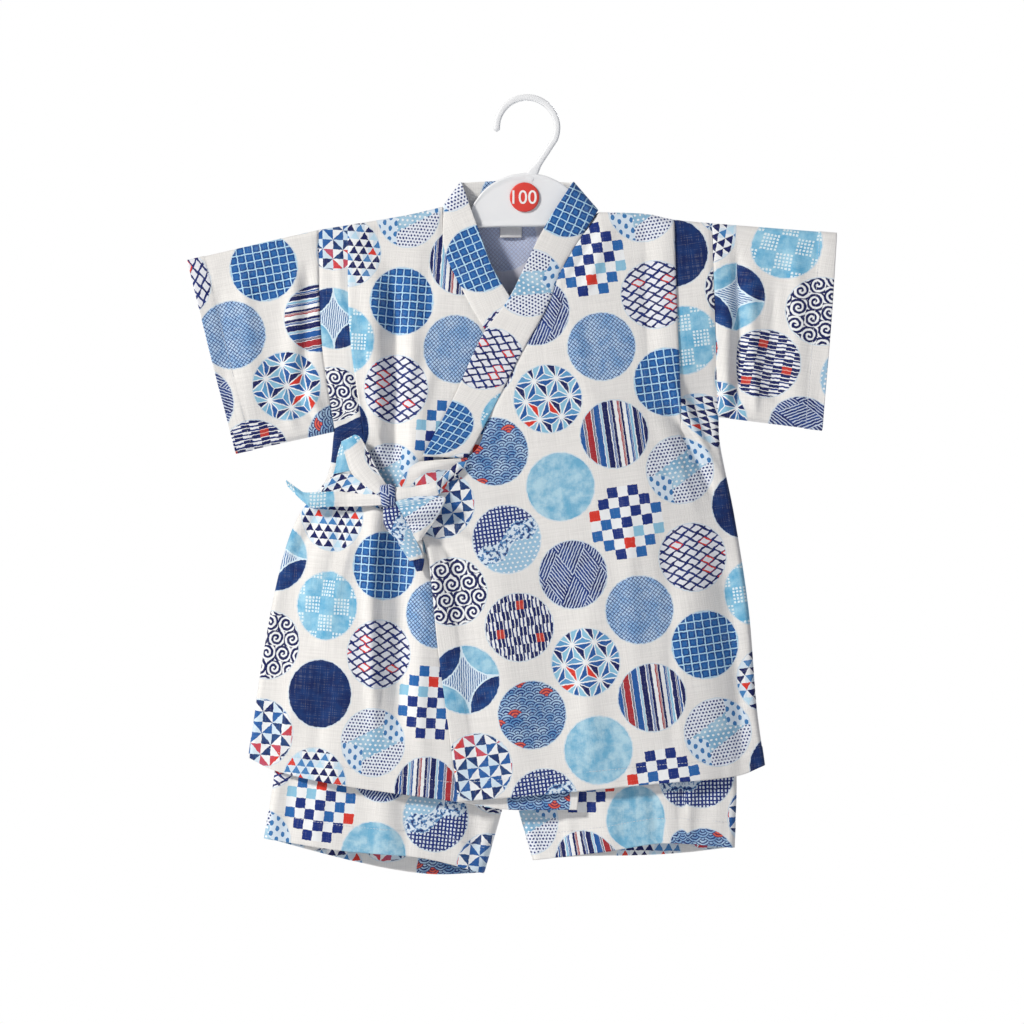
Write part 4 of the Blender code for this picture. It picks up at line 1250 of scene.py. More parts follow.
def sleeve(name, ridge, under, cuff, armhole, to_left, hidden, seed):
    """A sleeve is one piece round its tube: from the fold along its top, in front, round and behind."""
    levels = fold_places(4.0 * SHOULDER_LEVEL, True, True) / SHOULDER_LEVEL
    reach = abs(cuff[0][1] - armhole[0][1])
    share = np.linspace(0, 1, int(reach / GRID) + 1)
    near = np.array([0.8, 2.2, 5.0, 9.0, 12.2, 13.0, 13.8, 16.0]) / reach
    share = np.concatenate([[0], near, share[share > near[-1] + 0.01]])
    if to_left:
        share = 1 - share[::-1]
    left, right = (armhole, cuff) if to_left else (cuff, armhole)
    xz = patch(ridge, under, left, right, share, 0 * share, levels)
    cuff_line = polyline(cuff)
    grooves = groove([polyline(armhole)], xz, half=2.4) + hem_stitch(xz, cuff_line, CUFF_DEEP, 0.35)
    front = top_place(xz, -1, SLEEVE_FOLDS, lift=grooves, seed=seed)
    behind = top_place(xz, 1, SLEEVE_FOLDS, lift=grooves, seed=seed + 2.0)
    for side in (front, behind):
        side[[0, -1], :, 1] = 0.0
    # Round the lower fold the print runs on.
    across = unit_rows(np.array(ridge[-1][1:], float) - ridge[0][1:])
    low = xz[-1:]
    behind_xz = 2 * low - xz + 2 * ((xz - low) @ across)[..., None] * across
    shift = (hidden_cloth(hidden, xz), 0.0)
    fabric = np.concatenate([fabric_place(name, xz, shift), fabric_place(name, behind_xz, shift)[-2::-1]])
    points = np.concatenate([front, behind[-2:0:-1]])
    hems = hem_layers(np.concatenate([xz, xz[-2:0:-1]]), cuff_line, deep=CUFF_DEEP)
    # Columns run round the sleeve, rows from one end to the other.
    points, fabric, hems = (np.moveaxis(values, 0, 1)[::-1] for values in (points, fabric, hems))
    return cloth(name, points, fabric, hems, ring=True)


def make_sleeves():
    return (
        sleeve("Sleeve_right", RIDGE_RIGHT, UNDER_RIGHT, CUFF_RIGHT, ARMHOLE_RIGHT, False, (), 0.9),
        sleeve("Sleeve_left", RIDGE_LEFT, UNDER_LEFT, CUFF_LEFT, ARMHOLE_LEFT, True, SLEEVE_LEFT_HIDDEN, 2.4),
    )


def band_rows(last):
    near = NEAR_FOLD / SHOULDER_LEVEL
    return np.unique(np.concatenate([near, np.arange(near[-1], last, GRID / SHOULDER_LEVEL), [last]]))


COLLAR_LAP = 1.2
COLLAR_COLUMNS = np.array([0, 0.02, 0.05, 0.1, 0.2, 0.32, 0.45, 0.58, 0.7, 0.82, 0.9, 0.95, 0.98, 1.0])


def collar_front(name, seam, band, fold, end, over, last):
    """The band along one front: its seam is the left edge of the under front, and the right of the over."""
    share = COLLAR_COLUMNS
    left, right = (band, seam) if over else (seam, band)
    lap = COLLAR_LAP * (np.where(share > 0.94, 1.0, 0.0) if over else np.where(share < 0.06, -1.0, 0.0))
    xz = patch(fold, end, left, right, share, lap, band_rows(last))
    # The doubled band is slightly full between its seam and its fold.
    lift = 0.5 * np.sin(math.pi * share) ** 0.6 + groove([polyline(seam)], xz, deep=0.7, half=1.8)
    lift = lift + 0.5 * (lap != 0)
    lift = lift + 0.35 * np.sin(xz[..., 1] / 7.0 + np.sin(xz[..., 1] / 19.0)) * share
    points = top_place(xz, -1, (), over=over, lift=lift, seed=2.2)
    # The band was cut straight and eased round the neck, so its print bends with it.
    bend = over * 12.0 * np.maximum((-150 - xz[..., 1]) / 100, 0.0) ** 2
    return cloth(name, points, fabric_place(name, xz, (bend, bend)))


def make_collar():
    foot_right, foot_left = NECK_FOOT_RIGHT, NECK_FOOT_LEFT
    top_right, top_left = BAND_TOP[0][1:], BAND_TOP[-1][1:]
    right = collar_front(
        "Collar_right", ((0, *foot_right),) + UNDER_SEAM[1:], UNDER_BAND,
        ((0, *foot_right), (1, *top_right)), ((0, 10, -238), (1, 34, -224)), 0.0, 3.7,
    )
    left = collar_front(
        "Collar_left", ((0, *foot_left),) + OVER_SEAM[1:], OVER_BAND,
        ((0, *top_left), (1, *foot_left)), ((0, -78.9, -270.6), (1, -45.6, -271.8)), 1.0, 4.9,
    )
    levels = np.linspace(0, 1, 12)
    share = fold_places(85.0, True, True) / 85.0
    ends = ((0, *top_right), (1, *foot_right)), ((0, *top_left), (1, *foot_left))
    xz = patch(BAND_TOP, NECKLINE, *ends, share, 0 * share, levels)
    points = top_place(xz, 1, (), lift=0.4 * np.sin(math.pi * levels)[:, None], seed=2.2)
    fabric = fabric_place("Collar_back", xz, mirrored=True)
    return right, left, cloth("Collar_back", points[:, ::-1], fabric[:, ::-1])


def leg(name, waist, hems, outer, centre, inseam, outer_first, hidden, seed):
    """A leg of the shorts is one piece: the back, round the fold at its side, and the front."""
    inner = centre + inseam
    hem_rows = LAST_LEVEL - LEG_HEM_ROWS / LEG_HEM_LEVEL
    above, below = np.arange(0, 8.0, GRID / SHORTS_LEVEL), np.arange(8.08, hem_rows[-1], GRID / LEG_LEVEL)
    levels = np.unique(np.round(np.concatenate([above, [8.0], below, hem_rows[::-1]]), 4))
    share = fold_places(110.0, True, False) / 110.0
    share = share if outer_first else 1 - share[::-1]
    left, right = (outer, inner) if outer_first else (inner, outer)
    seams = [polyline(centre)[::-1] + polyline(inseam)]
    halves = []
    sheets = (-1, SHORTS_FOLDS_FRONT, hems[0], 0.0), (1, SHORTS_FOLDS_BACK, hems[1], 1.3)
    for side, folds, hem, lag in sheets:
        xz = patch(waist, hem, left, right, share, 0 * share, levels)
        line = polyline(hem, steps=20)
        lift = groove(seams, xz, 0.8) + hem_stitch(xz, line, LEG_HEM_DEEP)
        points = shorts_place(xz, side, folds, lift, seed + lag)
        halves.append((xz, points, hem_layers(xz, line, deep=LEG_HEM_DEEP)))
    (front_xz, front, front_hems), (back_xz, behind, back_hems) = halves
    front_fabric = fabric_place(name, front_xz, (-hidden_cloth(hidden, front_xz), 0.0))
    # Behind the side fold the print runs on, so its x is mirrored about the fold.
    side = at(outer, levels)[:, None, :]
    mirrored = np.concatenate([2 * side[..., :1] - back_xz[..., :1], back_xz[..., 1:]], -1)
    joined = []
    for a, b in ((front, behind), (front_fabric, fabric_place(name, mirrored)), (front_hems, back_hems)):
        # Seen from outside, either half comes first, and both share the side fold's column.
        joined.append(np.concatenate([b[:, :0:-1], a] if outer_first else [a, b[:, -2::-1]], 1))
    points, fabric, layers = joined
    points[:, len(share) - 1, 1] = 0.0
    return cloth(name, points, fabric, layers)


def make_waistband():
    """Gathered on its elastic, one piece all round."""
    x = WAIST_LEFT_X + fold_places(WAIST_RIGHT_X - WAIST_LEFT_X, True, True, step=2.2)
    z = np.linspace(WAIST_TOP, WAIST_BOTTOM, 14)
    xz = np.stack(np.meshgrid(x, z), -1)
    full = np.sin(math.pi * (z - WAIST_TOP) / (WAIST_BOTTOM - WAIST_TOP))[:, None]
    gathers = 0.7 * np.sin(xz[..., 0] / 1.35 + 1.5 * np.sin(xz[..., 0] / 7.7)) * (0.5 + 0.5 * full)
    front, behind = shorts_place(xz, -1, (), gathers), shorts_place(xz, 1, (), gathers)
    for side in (front, behind):
        side[:, [0, -1], 1] = 0.0
    mirrored = np.concatenate([2 * WAIST_RIGHT_X - xz[..., :1], xz[..., 1:]], -1)
    places = [fabric_place("Shorts_waistband", half) for half in (xz, mirrored)]
    fabric = np.concatenate([places[0], places[1][:, -2::-1]], 1)
    return cloth("Shorts_waistband", np.concatenate([front, behind[:, -2:0:-1]], 1), fabric, ring=True)


def make_shorts():
    return (
        leg(
            "Shorts_leg_right", WAIST_LINE_RIGHT, (LEG_HEM_RIGHT_FRONT, LEG_HEM_RIGHT_BACK),
            SHORTS_SIDE_RIGHT, CENTRE_RIGHT, INSEAM_RIGHT, True, (), 0.4,
        ),
        leg(
            "Shorts_leg_left", WAIST_LINE_LEFT, (LEG_HEM_LEFT_FRONT, LEG_HEM_LEFT_BACK),
            SHORTS_SIDE_LEFT, CENTRE_LEFT, INSEAM_LEFT, False, SHORTS_LEFT_HIDDEN, 3.0,
        ),
        make_waistband(),
    )


# ---------------------------------------------------------------- ties

# Strips of the bow: x, z of one edge, x, z of the other, lift over the cloth.
TIE_REACH = -136.0
TIE_STRIPS = {
    "Tie_root": ((
        (-45.5, -274.6, -46.1, -277.5, 1.0),
        (-52.7, -276, -51.3, -282.7, 2.2),
        (-61, -282.9, -59.9, -291.3, 3.2),
        (-69.4, -289.6, -67.1, -299.6, 4.0),
        (-82.7, -292.9, -81.6, -304.1, 4.6),
        (-100.3, -294.1, -99.2, -306.9, 4.8),
    ),),
    "Tie_loop_upper": (
        (
            (-104.1, -295.1, -111.4, -300.5, 5.6),
            (-111.9, -281.8, -124, -290.7, 8.0),
            (-118.4, -269, -132.9, -281.8, 9.2),
            (-124.4, -257.8, -137.9, -265.6, 9.8),
            (-127.8, -255.1, -139.6, -260.6, 9.2),
            (-130.7, -255.5, -140.1, -260.6, 8.0),
            (-131.2, -264, -142.9, -269.5, 7.2),
            (-130.1, -274, -144.6, -279.6, 6.8),
            (-129.6, -280.7, -146.2, -283.9, 6.4),
        ),
        (
            (-153.8, -296.3, -146.3, -283.5, 5.0),
            (-145.2, -297.2, -137.4, -282.9, 5.6),
            (-132.9, -297.4, -126.2, -286.9, 5.6),
            (-111.8, -301.8, -111.3, -293.2, 4.8),
        ),
    ),
    "Tie_tail_left": ((
        (-109.2, -296.6, -108.6, -307, 4.2),
        (-124, -297, -124, -307.9, 4.6),
        (-137.4, -297, -137.4, -308.2, 4.6),
        (-150.7, -297.2, -150.7, -308.3, 4.6),
        (-160.8, -297.6, -161.9, -309.1, 4.6),
        (-168.6, -297.6, -166.1, -306.5, 4.4),
        (-174.7, -293.8, -172.5, -300.8, 4.0),
        (-181.9, -288.7, -180.3, -292.9, 3.4),
    ),),
    "Tie_loop_lower": ((
        (-99.3, -304.8, -82.7, -300.6, 5.0),
        (-96.1, -310.2, -62.5, -301, 7.4),
        (-92.2, -316.4, -63.8, -309.1, 8.2),
        (-88.1, -323.9, -70.5, -320.6, 8.0),
        (-83.9, -332, -78.1, -330.3, 7.0),
        (-82.5, -334.4, -79.2, -333.1, 6.2),
    ),),
    "Tie_tail_lower": (
        (
            (-107.8, -305.1, -95.4, -304, 4.0),
            (-107.3, -321.9, -90, -319.7, 5.2),
            (-98.6, -333.1, -83.9, -332.5, 5.4),
            (-89.7, -347, -78.8, -344.2, 5.0),
            (-87.8, -348.9, -79.4, -347, 4.6),
        ),
        (
            (-85.9, -333.1, -79.6, -333.1, 3.6),
            (-85.5, -343.1, -78.1, -342.5, 3.8),
            (-84.8, -351.5, -77.7, -350.3, 3.8),
            (-82.5, -357, -79.2, -356.5, 3.6),
        ),
    ),
}
# Middle of each strip in the print, across and down the cloth, and its turn in degrees.
TIE_PRINT = {
    "Tie_root": ((140.0, 165.0, 90.0),),
    "Tie_loop_upper": ((205.0, 97.0, 90.0), (137.1, 149.0, 0.0)),
    "Tie_tail_left": ((199.0, 100.2, 90.0),),
    "Tie_loop_lower": ((99.0, 190.0, -10.0),),
    "Tie_tail_lower": ((228.5, 214.0, 0.0), (137.1, 194.0, 0.0)),
}
TIE_CLOTH = 1.2
# The knot: corners in x, z, clockwise from the upper left, and its height over the cloth.
KNOT_CORNERS = ((-111.2, -292.2), (-99.6, -291.0), (-98.0, -307.4), (-109.2, -309.4))
KNOT_LIFT = 9.6
KNOT_PRINT = (3.0, 58.0, 25.0)


def smooth_rows(rows, steps):
    """Rows of numbers on a smooth curve through the given ones."""
    rows = np.array(rows, float)
    ends = np.concatenate([2 * rows[:1] - rows[1:2], rows, 2 * rows[-1:] - rows[-2:-1]])
    found = []
    for k in range(len(rows) - 1):
        p, a, b, q = ends[k:k + 4]
        t = np.linspace(0, 1, steps, endpoint=False)[:, None]
        found.append(0.5 * (
            2 * a + (b - p) * t + (2 * p - 5 * a + 4 * b - q) * t**2 + (3 * a - p - 3 * b + q) * t**3
        ))
    return np.concatenate(found + [rows[-1:]])


def bow_depth(x, z, lift):
    xz = np.stack([np.maximum(x, TIE_REACH), z], -1)
    return top_place(xz, -1, OVER_FOLDS, over=1.0)[..., 1] - 0.6 - lift


def strip(rows, place):
    """Points and fabric places of a flat sewn band, its long edges stitched, seen from in front."""
    rows = smooth_rows(rows, 8)
    one, other = rows[:, 0:2], rows[:, 2:4]
    middle = (one + other) / 2
    across = np.array([0, 0.03, 0.08, 0.14, 0.24, 0.38, 0.52, 0.66, 0.78, 0.86, 0.92, 0.97, 1.0])
    share = across[None, :, None]
    xz = (1 - share) * one[:, None] + share * other[:, None]
    run = length_along(middle)[:, None]
    wide = np.hypot(*(other - one).T)[:, None]
    from_stitches = np.minimum(across, 1 - across)[None] * wide - 1.5
    crown = 1.1 * np.sin(math.pi * across)[None] + 0.35 * np.sin(run / 2.9) * (across - 0.5)[None]
    crown = crown - 0.35 * bell(from_stitches, 0.5) + 0.16 * np.sin(run / 1.1) * bell(from_stitches, 1.4)
    y = bow_depth(middle[:, 0], middle[:, 1], rows[:, 4])
    points = np.stack([xz[..., 0], y[:, None] - crown, xz[..., 1]], -1)
    s, d, turn = place
    u, v = turned(*np.broadcast_arrays((across[None] - 0.5) * wide, run), turn)
    return points, np.stack([s + u, d + v], -1)


def make_ties():
    made = []
    for title, strips in TIE_STRIPS.items():
        vertices, faces, corners = [], [], []
        for rows, place in zip(strips, TIE_PRINT[title]):
            points, fabric = strip(rows, place)
            faces += grid(*points.shape[:2], start=sum(len(v) for v in vertices))
            vertices.append(points.reshape(-1, 3))
            corners.append(fabric.reshape(-1, 2)[np.concatenate(grid(*points.shape[:2]))])
        materials = (cotton, cotton_wrong)
        obj = new_object(title, np.concatenate(vertices), faces, materials, np.concatenate(corners))
        thicken(obj, TIE_CLOTH)
        made.append(obj)
    return made


def make_knot():
    """The knot: a band wrapped slantwise over the two that it holds, tucked in at its ends."""
    (ax, az), (bx, bz), (cx, cz), (dx, dz) = KNOT_CORNERS
    v = np.linspace(0, 1, 40)[:, None]
    a = np.linspace(0, 2 * math.pi, 65)[None]
    across = 0.5 + 0.5 * np.sign(np.sin(a)) * abs(np.sin(a)) ** 0.75
    slant = v + 0.13 * (across - 0.5)
    ends = np.clip(1 - abs(2 * v - 1) ** 7, 0, 1) ** 0.5
    crease = 0.5 * bell(slant - 0.36, 0.035) + 0.45 * bell(slant - 0.69, 0.03)
    x = (1 - v) * (ax + (bx - ax) * across) + v * (dx + (cx - dx) * across)
    z = (1 - v) * (az + (bz - az) * across) + v * (dz + (cz - dz) * across)
    middle_x, middle_z = x.mean(1, keepdims=True), z.mean(1, keepdims=True)
    x = middle_x + (x - middle_x) * (0.55 + 0.45 * ends)
    z = middle_z + (z - middle_z) * (0.55 + 0.45 * ends)
    swell_out = 1.0 + 0.1 * np.sin(math.pi * slant) - 0.14 * crease
    deep = np.sign(np.cos(a)) * abs(np.cos(a)) ** 0.7 * (0.25 + 0.75 * ends) * swell_out
    base = bow_depth(np.array([(ax + cx) / 2]), np.array([(az + cz) / 2]), 0.0)[0]
    half = (KNOT_LIFT - 1.5) / 2
    points = np.stack([x, base - 1.5 - half - half * deep, z], -1)
    rows, count = points.shape[:2]
    s, d, turn = KNOT_PRINT
    u, w = turned(*np.broadcast_arrays((across - 0.5) * 12.0 + 3.0 * (np.cos(a) < 0), v * 18.0), turn)
    fabric = np.stack([s + u, d + w], -1).reshape(-1, 2)[np.concatenate(grid(rows, count, flip=True))]
    obj = new_object("Tie_knot", points[:, :-1], grid(rows, count - 1, True, flip=True), [cotton], fabric)
    mesh = bmesh.new()
    mesh.from_mesh(obj.data)
    bmesh.ops.recalc_face_normals(mesh, faces=mesh.faces)
    mesh.to_mesh(obj.data)
    mesh.free()
    return obj


# ---------------------------------------------------------------- stitches and label

STITCH = 1.7
STITCH_PITCH = 2.4
STITCH_RADIUS = 0.17
STITCH_LIFT = 0.5


def inset(line, distance):
    """A line moved sideways to its left, without the points that fold back."""
    line = np.array(line, float)
    keep = np.concatenate([[True], np.hypot(*np.diff(line, axis=0).T) > 0.3])
    line = line[keep]
    along = unit_rows(np.gradient(line, axis=0))
    return line + distance * np.stack([-along[:, 1], along[:, 0]], -1)


def dashes(line, place, side):
    """Ends and outward direction of stitches along a line of (x, z)."""
    run = length_along(line)
    starts = np.arange(4.0, run[-1] - 4.0 - STITCH, STITCH_PITCH)
    found = []
    for t in (0.0, 0.25, 0.75, 1.0):
        xz = np.stack([np.interp(starts + t * STITCH, run, line[:, k]) for k in (0, 1)], -1)
        near = place(xz)
        normal = unit_rows(np.cross(place(xz + (0.5, 0.0)) - near, place(xz + (0.0, 0.5)) - near)) * side
        found.append((near + normal * STITCH_LIFT, normal))
    return found


def make_stitches(title, runs):
    """Rows of stitches as one mesh of small threads. A run is line, place, side of the garment."""
    vertices, faces = [], []
    for run in runs:
        rings = dashes(*run)
        tangent = unit_rows(rings[3][0] - rings[0][0])
        corners = []
        for (centre, normal), share in zip(rings, (0.45, 1.0, 1.0, 0.45)):
            across = np.cross(tangent, normal)
            for c, s in ((1, 0), (0, 1), (-1, 0), (0, -1)):
                corners.append(centre + share * STITCH_RADIUS * (c * across + s * normal))
        # Sixteen corners a stitch: four rings of four.
        start = sum(len(v) for v in vertices)
        vertices.append(np.stack(corners, 1).reshape(-1, 3))
        for base in range(start, start + len(vertices[-1]), 16):
            faces += grid(4, 4, True, base, flip=True)
            faces += [(base + 3, base + 2, base + 1, base), (base + 12, base + 13, base + 14, base + 15)]
    return new_object(title, np.concatenate(vertices), faces, [thread])


def hem_run(hem, deep, place, side, steps=20):
    return inset(polyline(hem, steps=steps), deep), place, side


def make_all_stitches():
    top = [
        hem_run(HEM_UNDER, HEM_DEEP - 1, front_right_place, 1),
        hem_run(HEM_OVER, HEM_DEEP - 1, front_left_place, 1),
        hem_run(HEM_BACK, HEM_DEEP - 1, back_place, -1),
        hem_run(((5.8, -94, -306),) + OVER_EDGE[1:], HEM_DEEP - 1, front_left_place, 1, 12),
    ]
    for side, cuff, deep, seed in (
        (-1, CUFF_RIGHT, CUFF_DEEP - 1, 0.9),
        (-1, CUFF_LEFT, 1 - CUFF_DEEP, 2.4),
        (1, CUFF_RIGHT, CUFF_DEEP - 1, 2.9),
        (1, CUFF_LEFT, 1 - CUFF_DEEP, 4.4),
    ):
        place = functools.partial(top_place, side=side, folds=SLEEVE_FOLDS, seed=seed)
        top.append(hem_run(cuff, deep, place, -side, 12))
    shorts = []
    for side, folds, hem, seed in (
        (-1, SHORTS_FOLDS_FRONT, LEG_HEM_RIGHT_FRONT, 0.4),
        (-1, SHORTS_FOLDS_FRONT, LEG_HEM_LEFT_FRONT, 3.0),
        (1, SHORTS_FOLDS_BACK, LEG_HEM_RIGHT_BACK, 1.7),
        (1, SHORTS_FOLDS_BACK, LEG_HEM_LEFT_BACK, 4.3),
    ):
        place = functools.partial(shorts_place, side=side, folds=folds, seed=seed)
        shorts.append(hem_run(hem, LEG_HEM_DEEP - 1, place, -side))
    return make_stitches("Stitches_top", top), make_stitches("Stitches_shorts", shorts)


def make_label():
    x0, x1, z0, z1 = LABEL
    xz = np.stack(np.meshgrid(np.linspace(x1, x0, 14), np.linspace(z0, z1, 10)), -1)
    points = back_place(xz)
    curl = 1.4 * smoothstep((z0 - xz[..., 1]) / (z0 - z1)) + 0.2 * np.sin(xz[..., 0] / 3.0)
    points[..., 1] -= 1.1 + curl
    obj = new_object("Label", points, grid(10, 14), [label_tape])
    thicken(obj, 0.4)
    return obj


# ---------------------------------------------------------------- hanger and size disc

PLATE_HALF = 2.0
PLATE_EDGES = (  # x, z of the upper edge, z of the lower edge
    (0, -54.7, -95.8),
    (15, -57.5, -95.9),
    (30, -65.5, -96.4),
    (40, -77.5, -97.2),
    (47, -90.5, -98.4),
    (62, -92.2, -100.6),
    (75, -93.8, -102.8),
    (110, -97.5, -108.0),
    (135, -102.0, -112.0),
    (147, -105.5, -112.5),
)
HOOK_RADIUS = 20.5
HOOK_BAR = 4.8
HOOK_DEPTH = 4.2
HOOK_TIP_ANGLE = 188.0
HOOK_SHANK_ANGLE = -24.0
HOOK_FOOT = (1.0, -60.0)
DISC_X = -1.9
DISC_Z = -73.6
DISC_SIZE = 11.2
DISC_THICK = 0.8
DISC_BASE = -PLATE_HALF - 0.1
NUMBER_SIZE = (18.4, 10.4)
LABEL = (-20.5, -3.8, -93.0, -103.5)


def make_plate():
    """Moulded plate: rounded edges, and a shallow sunk face inside a raised rim."""
    half = smooth_rows(PLATE_EDGES, 8)
    rows = np.concatenate([half[:0:-1] * np.array([-1, 1, 1]), half])
    down = np.array([0, 0.01, 0.03, 0.06, 0.1, 0.16, 0.2, 0.24, 0.32, 0.45, 0.55, 0.68, 0.76, 0.8, 0.84, 0.9,
                     0.94, 0.97, 0.99, 1.0])
    x = rows[:, 0][None] + 0 * down[:, None]
    tall = (rows[:, 1] - rows[:, 2])[None]
    z = rows[:, 1][None] - down[:, None] * tall
    from_edge = np.minimum(np.minimum(down[:, None], 1 - down[:, None]) * tall, 147.0 - abs(x))
    round_off = np.sqrt(np.clip(from_edge * (2.4 - from_edge), 0, 1.44)) / 1.2
    round_off = np.where(from_edge > 1.2, 1.0, round_off)
    sunk = 0.55 * smoothstep((from_edge - 2.6) / 1.2)
    y = PLATE_HALF * (0.35 + 0.65 * round_off) - sunk
    front = np.stack([x, -y, z], -1)
    behind = np.stack([x, y, z], -1)
    ring = np.concatenate([front, behind[::-1]], 0)
    count, wide = ring.shape[:2]
    faces = []
    for r in range(count):
        for c in range(wide - 1):
            a, b = r * wide + c, (r + 1) % count * wide + c
            faces.append((a, b, b + 1, a + 1))
    for c, flip in ((0, False), (wide - 1, True)):
        cap = [r * wide + c for r in range(count)]
        faces.append(tuple(cap if flip else cap[::-1]))
    return ring.reshape(-1, 3), faces


def make_hook(start):
    """Hook of a rounded flat section, thicker where it grows out of the plate."""
    radius = HOOK_RADIUS + HOOK_BAR / 2
    turn = np.radians(np.linspace(HOOK_TIP_ANGLE, HOOK_SHANK_ANGLE, 60))
    arc = np.stack([radius * np.cos(turn), -HOOK_RADIUS + radius * np.sin(turn)], -1)
    t = np.linspace(0, 1, 24)[1:, None]
    shank = arc[-1] + t * (np.array(HOOK_FOOT) - arc[-1])
    path = np.concatenate([arc, shank])
    along = unit_rows(np.gradient(path, axis=0))
    run = length_along(path)
    tip = np.sqrt(np.clip(1 - (1 - np.minimum(run / 2.2, 1)) ** 2, 0.02, 1))
    foot = smoothstep((run - run[-1] + 16.0) / 12.0)
    a = np.linspace(0, 2 * math.pi, 24, endpoint=False)
    across = np.sign(np.cos(a)) * abs(np.cos(a)) ** 0.6
    through = np.sign(np.sin(a)) * abs(np.sin(a)) ** 0.6
    wide = (HOOK_BAR / 2 * tip * (1 + 0.8 * foot))[:, None] * across[None]
    deep = (HOOK_DEPTH / 2 * tip * (1 - 0.12 * foot))[:, None] * through[None]
    points = np.stack([
        path[:, :1] + wide * along[:, 1:],
        deep,
        path[:, 1:] - wide * along[:, :1],
    ], -1)
    rows, count = points.shape[:2]
    faces = grid(rows, count, True, start, flip=True)
    faces.append(tuple(range(start + count - 1, start - 1, -1)))
    faces.append(tuple(range(start + (rows - 1) * count, start + rows * count)))
    return points.reshape(-1, 3), faces


def make_hanger():
    plate, plate_faces = make_plate()
    hook, hook_faces = make_hook(len(plate))
    obj = new_object("Hanger", np.concatenate([plate, hook]), plate_faces + hook_faces, [plastic])
    obj.data.set_sharp_from_angle(angle=math.radians(50))
    return obj


def make_disc():
    """Round size marker with a rounded edge."""
    a = np.linspace(0, 2 * math.pi, 72, endpoint=False)
    rings = [(0.001, 1.0), (0.5, 1.0), (0.93, 1.0), (0.975, 0.85), (1.0, 0.5), (1.0, 0.0), (0.001, 0.0)]
    share, high = np.transpose(rings)[:, :, None]
    x, z = DISC_X + DISC_SIZE * share * np.cos(a), DISC_Z + DISC_SIZE * share * np.sin(a)
    points = np.stack([x, DISC_BASE - (DISC_THICK + 0.2) * high + 0 * x, z], -1)
    obj = new_object("Size_disc", points, grid(*points.shape[:2], ring=True), [marker_red])
    obj.data.set_sharp_from_angle(angle=math.radians(40))
    return obj


def make_number():
    """The plain size number, raised a little from the disc."""
    curve = bpy.data.curves.new("Size_number", "FONT")
    curve.body = "100"
    curve.size = 14.0 * MM
    curve.align_x = "CENTER"
    curve.align_y = "CENTER"
    curve.space_character = 1.02
    curve.offset = 0.02 * MM
    curve.extrude = 0.12 * MM
    curve.bevel_depth = 0.05 * MM
    source = link(bpy.data.objects.new("Size_number_source", curve))
    graph = bpy.context.evaluated_depsgraph_get()
    mesh = bpy.data.meshes.new_from_object(source.evaluated_get(graph))
    bpy.data.objects.remove(source)
    points = np.empty(len(mesh.vertices) * 3)
    mesh.vertices.foreach_get("co", points)
    points = points.reshape(-1, 3) / MM
    low, high = points.min(0), points.max(0)
    wide, tall = NUMBER_SIZE
    x, y, z = (points - (low + high) / 2).T
    placed = np.stack([
        DISC_X + x * wide / (high[0] - low[0]),
        DISC_BASE - DISC_THICK - 0.22 - z,
        DISC_Z + y * tall / (high[1] - low[1]),
    ], -1)
    mesh.vertices.foreach_set("co", (placed * MM).ravel())
    mesh.update()
    mesh.materials.clear()
    mesh.materials.append(marker_white)
    return link(bpy.data.objects.new("Size_number", mesh))


# ---------------------------------------------------------------- the set

ARMHOLE_LINE_RIGHT = polyline(ARMHOLE_RIGHT)
ARMHOLE_LINE_LEFT = polyline(ARMHOLE_LEFT)
UNDER_SEAM_LINE = polyline(UNDER_SEAM)
OVER_SEAM_LINE = polyline(OVER_SEAM)
NECKLINE_LINE = polyline(NECKLINE)
UNDER_EDGE_LINE = polyline(UNDER_EDGE)
OVER_EDGE_LINE = polyline(OVER_EDGE)
COVER_LINE = np.array(polyline(OVER_BAND) + polyline(OVER_CORNER, OVER_EDGE))

circle_print = print_group()
cotton = cotton_material("Cotton_print", circle_print)
cotton_wrong = cotton_material("Cotton_print_wrong_side", circle_print, wrong_side=True)
plastic = plastic_material()
marker_red = sticker_material("Marker_red", "D8382F", "E2483F", 0.42)
marker_white = sticker_material("Marker_white", "F0F0F0", "FAFAFA", 0.45)
thread = toned_material("Thread", "C4CAD6", "EEF0F3", 2.2, detail=1.0, Roughness=0.6)[0]
label_tape = label_material()

front_right, front_left, back = make_panels()
sleeve_right, sleeve_left = make_sleeves()
collar_right, collar_left, collar_back = make_collar()
leg_right, leg_left, waistband = make_shorts()
tie_root, tie_loop_upper, tie_tail_left, tie_loop_lower, tie_tail_lower = ties = make_ties()
knot = make_knot()
label = make_label()
hanger = make_hanger()
size_disc = make_disc()
size_number = make_number()

stitches = make_all_stitches()

CLOTH_PIECES = (
    front_right, front_left, back, sleeve_right, sleeve_left, collar_right, collar_left, collar_back,
    leg_right, leg_left, waistband, *ties, knot,
)
for piece in (*CLOTH_PIECES, label, hanger, size_disc):
    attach(piece, "root")
    # Each piece has the name of its CAD node, with a capital.
    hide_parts(piece.name.lower())
for piece in (*stitches, size_number):
    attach(piece, "root")


# ---------------------------------------------------------------- studio, in metres

FLOOR_LEVEL = -1.55
FLOOR_RADIUS = 3.6
LIGHT_TARGET = Vector((0.0, 0.0, -0.3))


def make_camera():
    camera = link(bpy.data.objects.new("Camera", bpy.data.cameras.new("Camera")))
    camera.location = (-0.0114, -2.16, -0.3124)
    camera.rotation_euler = (math.radians(90), 0, 0)
    camera.data.lens = 100.0
    camera.data.sensor_width = 36.0
    camera.data.clip_end = 20.0
    bpy.context.scene.camera = camera


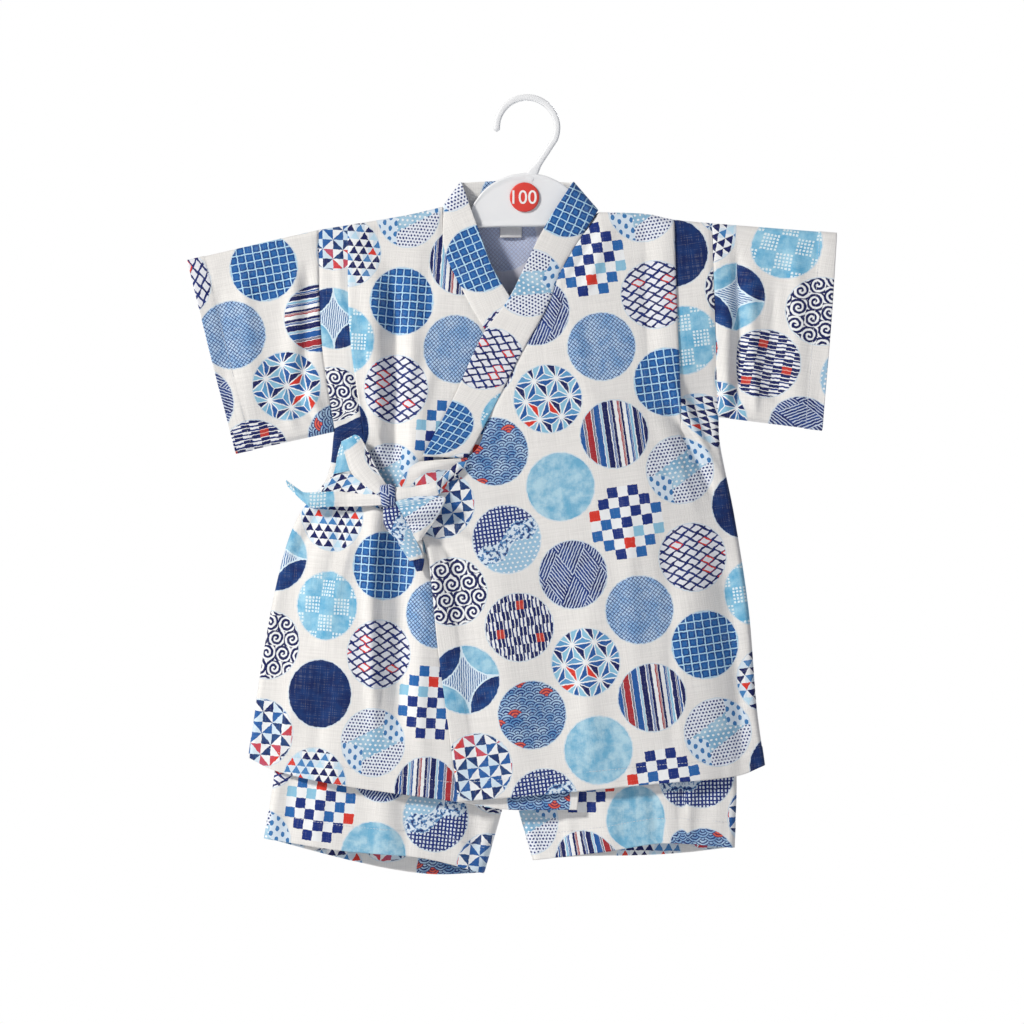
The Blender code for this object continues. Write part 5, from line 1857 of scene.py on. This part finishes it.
def area_light(name, place, size, power, colour):
    lamp = bpy.data.lights.new(name, "AREA")
    lamp.shape = "DISK"
    lamp.size = size
    lamp.energy = power
    lamp.color = colour
    obj = link(bpy.data.objects.new(name, lamp))
    obj.location = place
    obj.rotation_euler = (LIGHT_TARGET - Vector(place)).to_track_quat("-Z", "Y").to_euler()


def make_floor():
    turn = np.linspace(0.0, math.tau, 97)[:-1]
    rim = np.stack([FLOOR_RADIUS * np.cos(turn), FLOOR_RADIUS * np.sin(turn), 0 * turn + FLOOR_LEVEL], -1)
    material = toned_material(
        "Floor", "ECECEC", "F6F6F6", 0.004,
        Roughness=0.8, Emission_Color=(1.0, 0.98, 0.95, 1.0), Emission_Strength=0.2,
    )[0]
    floor = new_object("Floor", rim / MM, [tuple(range(len(rim)))], [material])


def make_world():
    """The camera sees plain white; the cloth is lit by a cooler, dimmer sky."""
    world = bpy.data.worlds.new("Studio")
    world.use_nodes = True
    tree = world.node_tree
    shown = tree.nodes["Background"]
    shown.inputs["Color"].default_value = (1.0, 1.0, 1.0, 1.0)
    sky = tree.nodes.new("ShaderNodeBackground")
    sky.inputs["Color"].default_value = (0.84, 0.87, 1.0, 1.0)
    sky.inputs["Strength"].default_value = 0.2
    path = tree.nodes.new("ShaderNodeLightPath")
    pick = tree.nodes.new("ShaderNodeMixShader")
    tree.links.new(path.outputs["Is Camera Ray"], pick.inputs["Fac"])
    tree.links.new(sky.outputs["Background"], pick.inputs[1])
    tree.links.new(shown.outputs["Background"], pick.inputs[2])
    tree.links.new(pick.outputs["Shader"], tree.nodes["World Output"].inputs["Surface"])
    bpy.context.scene.world = world
    bpy.context.scene.view_settings.view_transform = "Standard"


make_camera()
make_floor()
area_light("Key", (-3.8, -3.0, 2.4), 0.8, 285.0, (1.0, 0.96, 0.9))
area_light("Fill", (1.0, -2.7, 0.1), 1.8, 4.0, (0.9, 0.94, 1.0))
area_light("Back fill", (1.8, 3.4, 1.6), 1.4, 95.0, (0.97, 0.98, 1.0))
make_world()
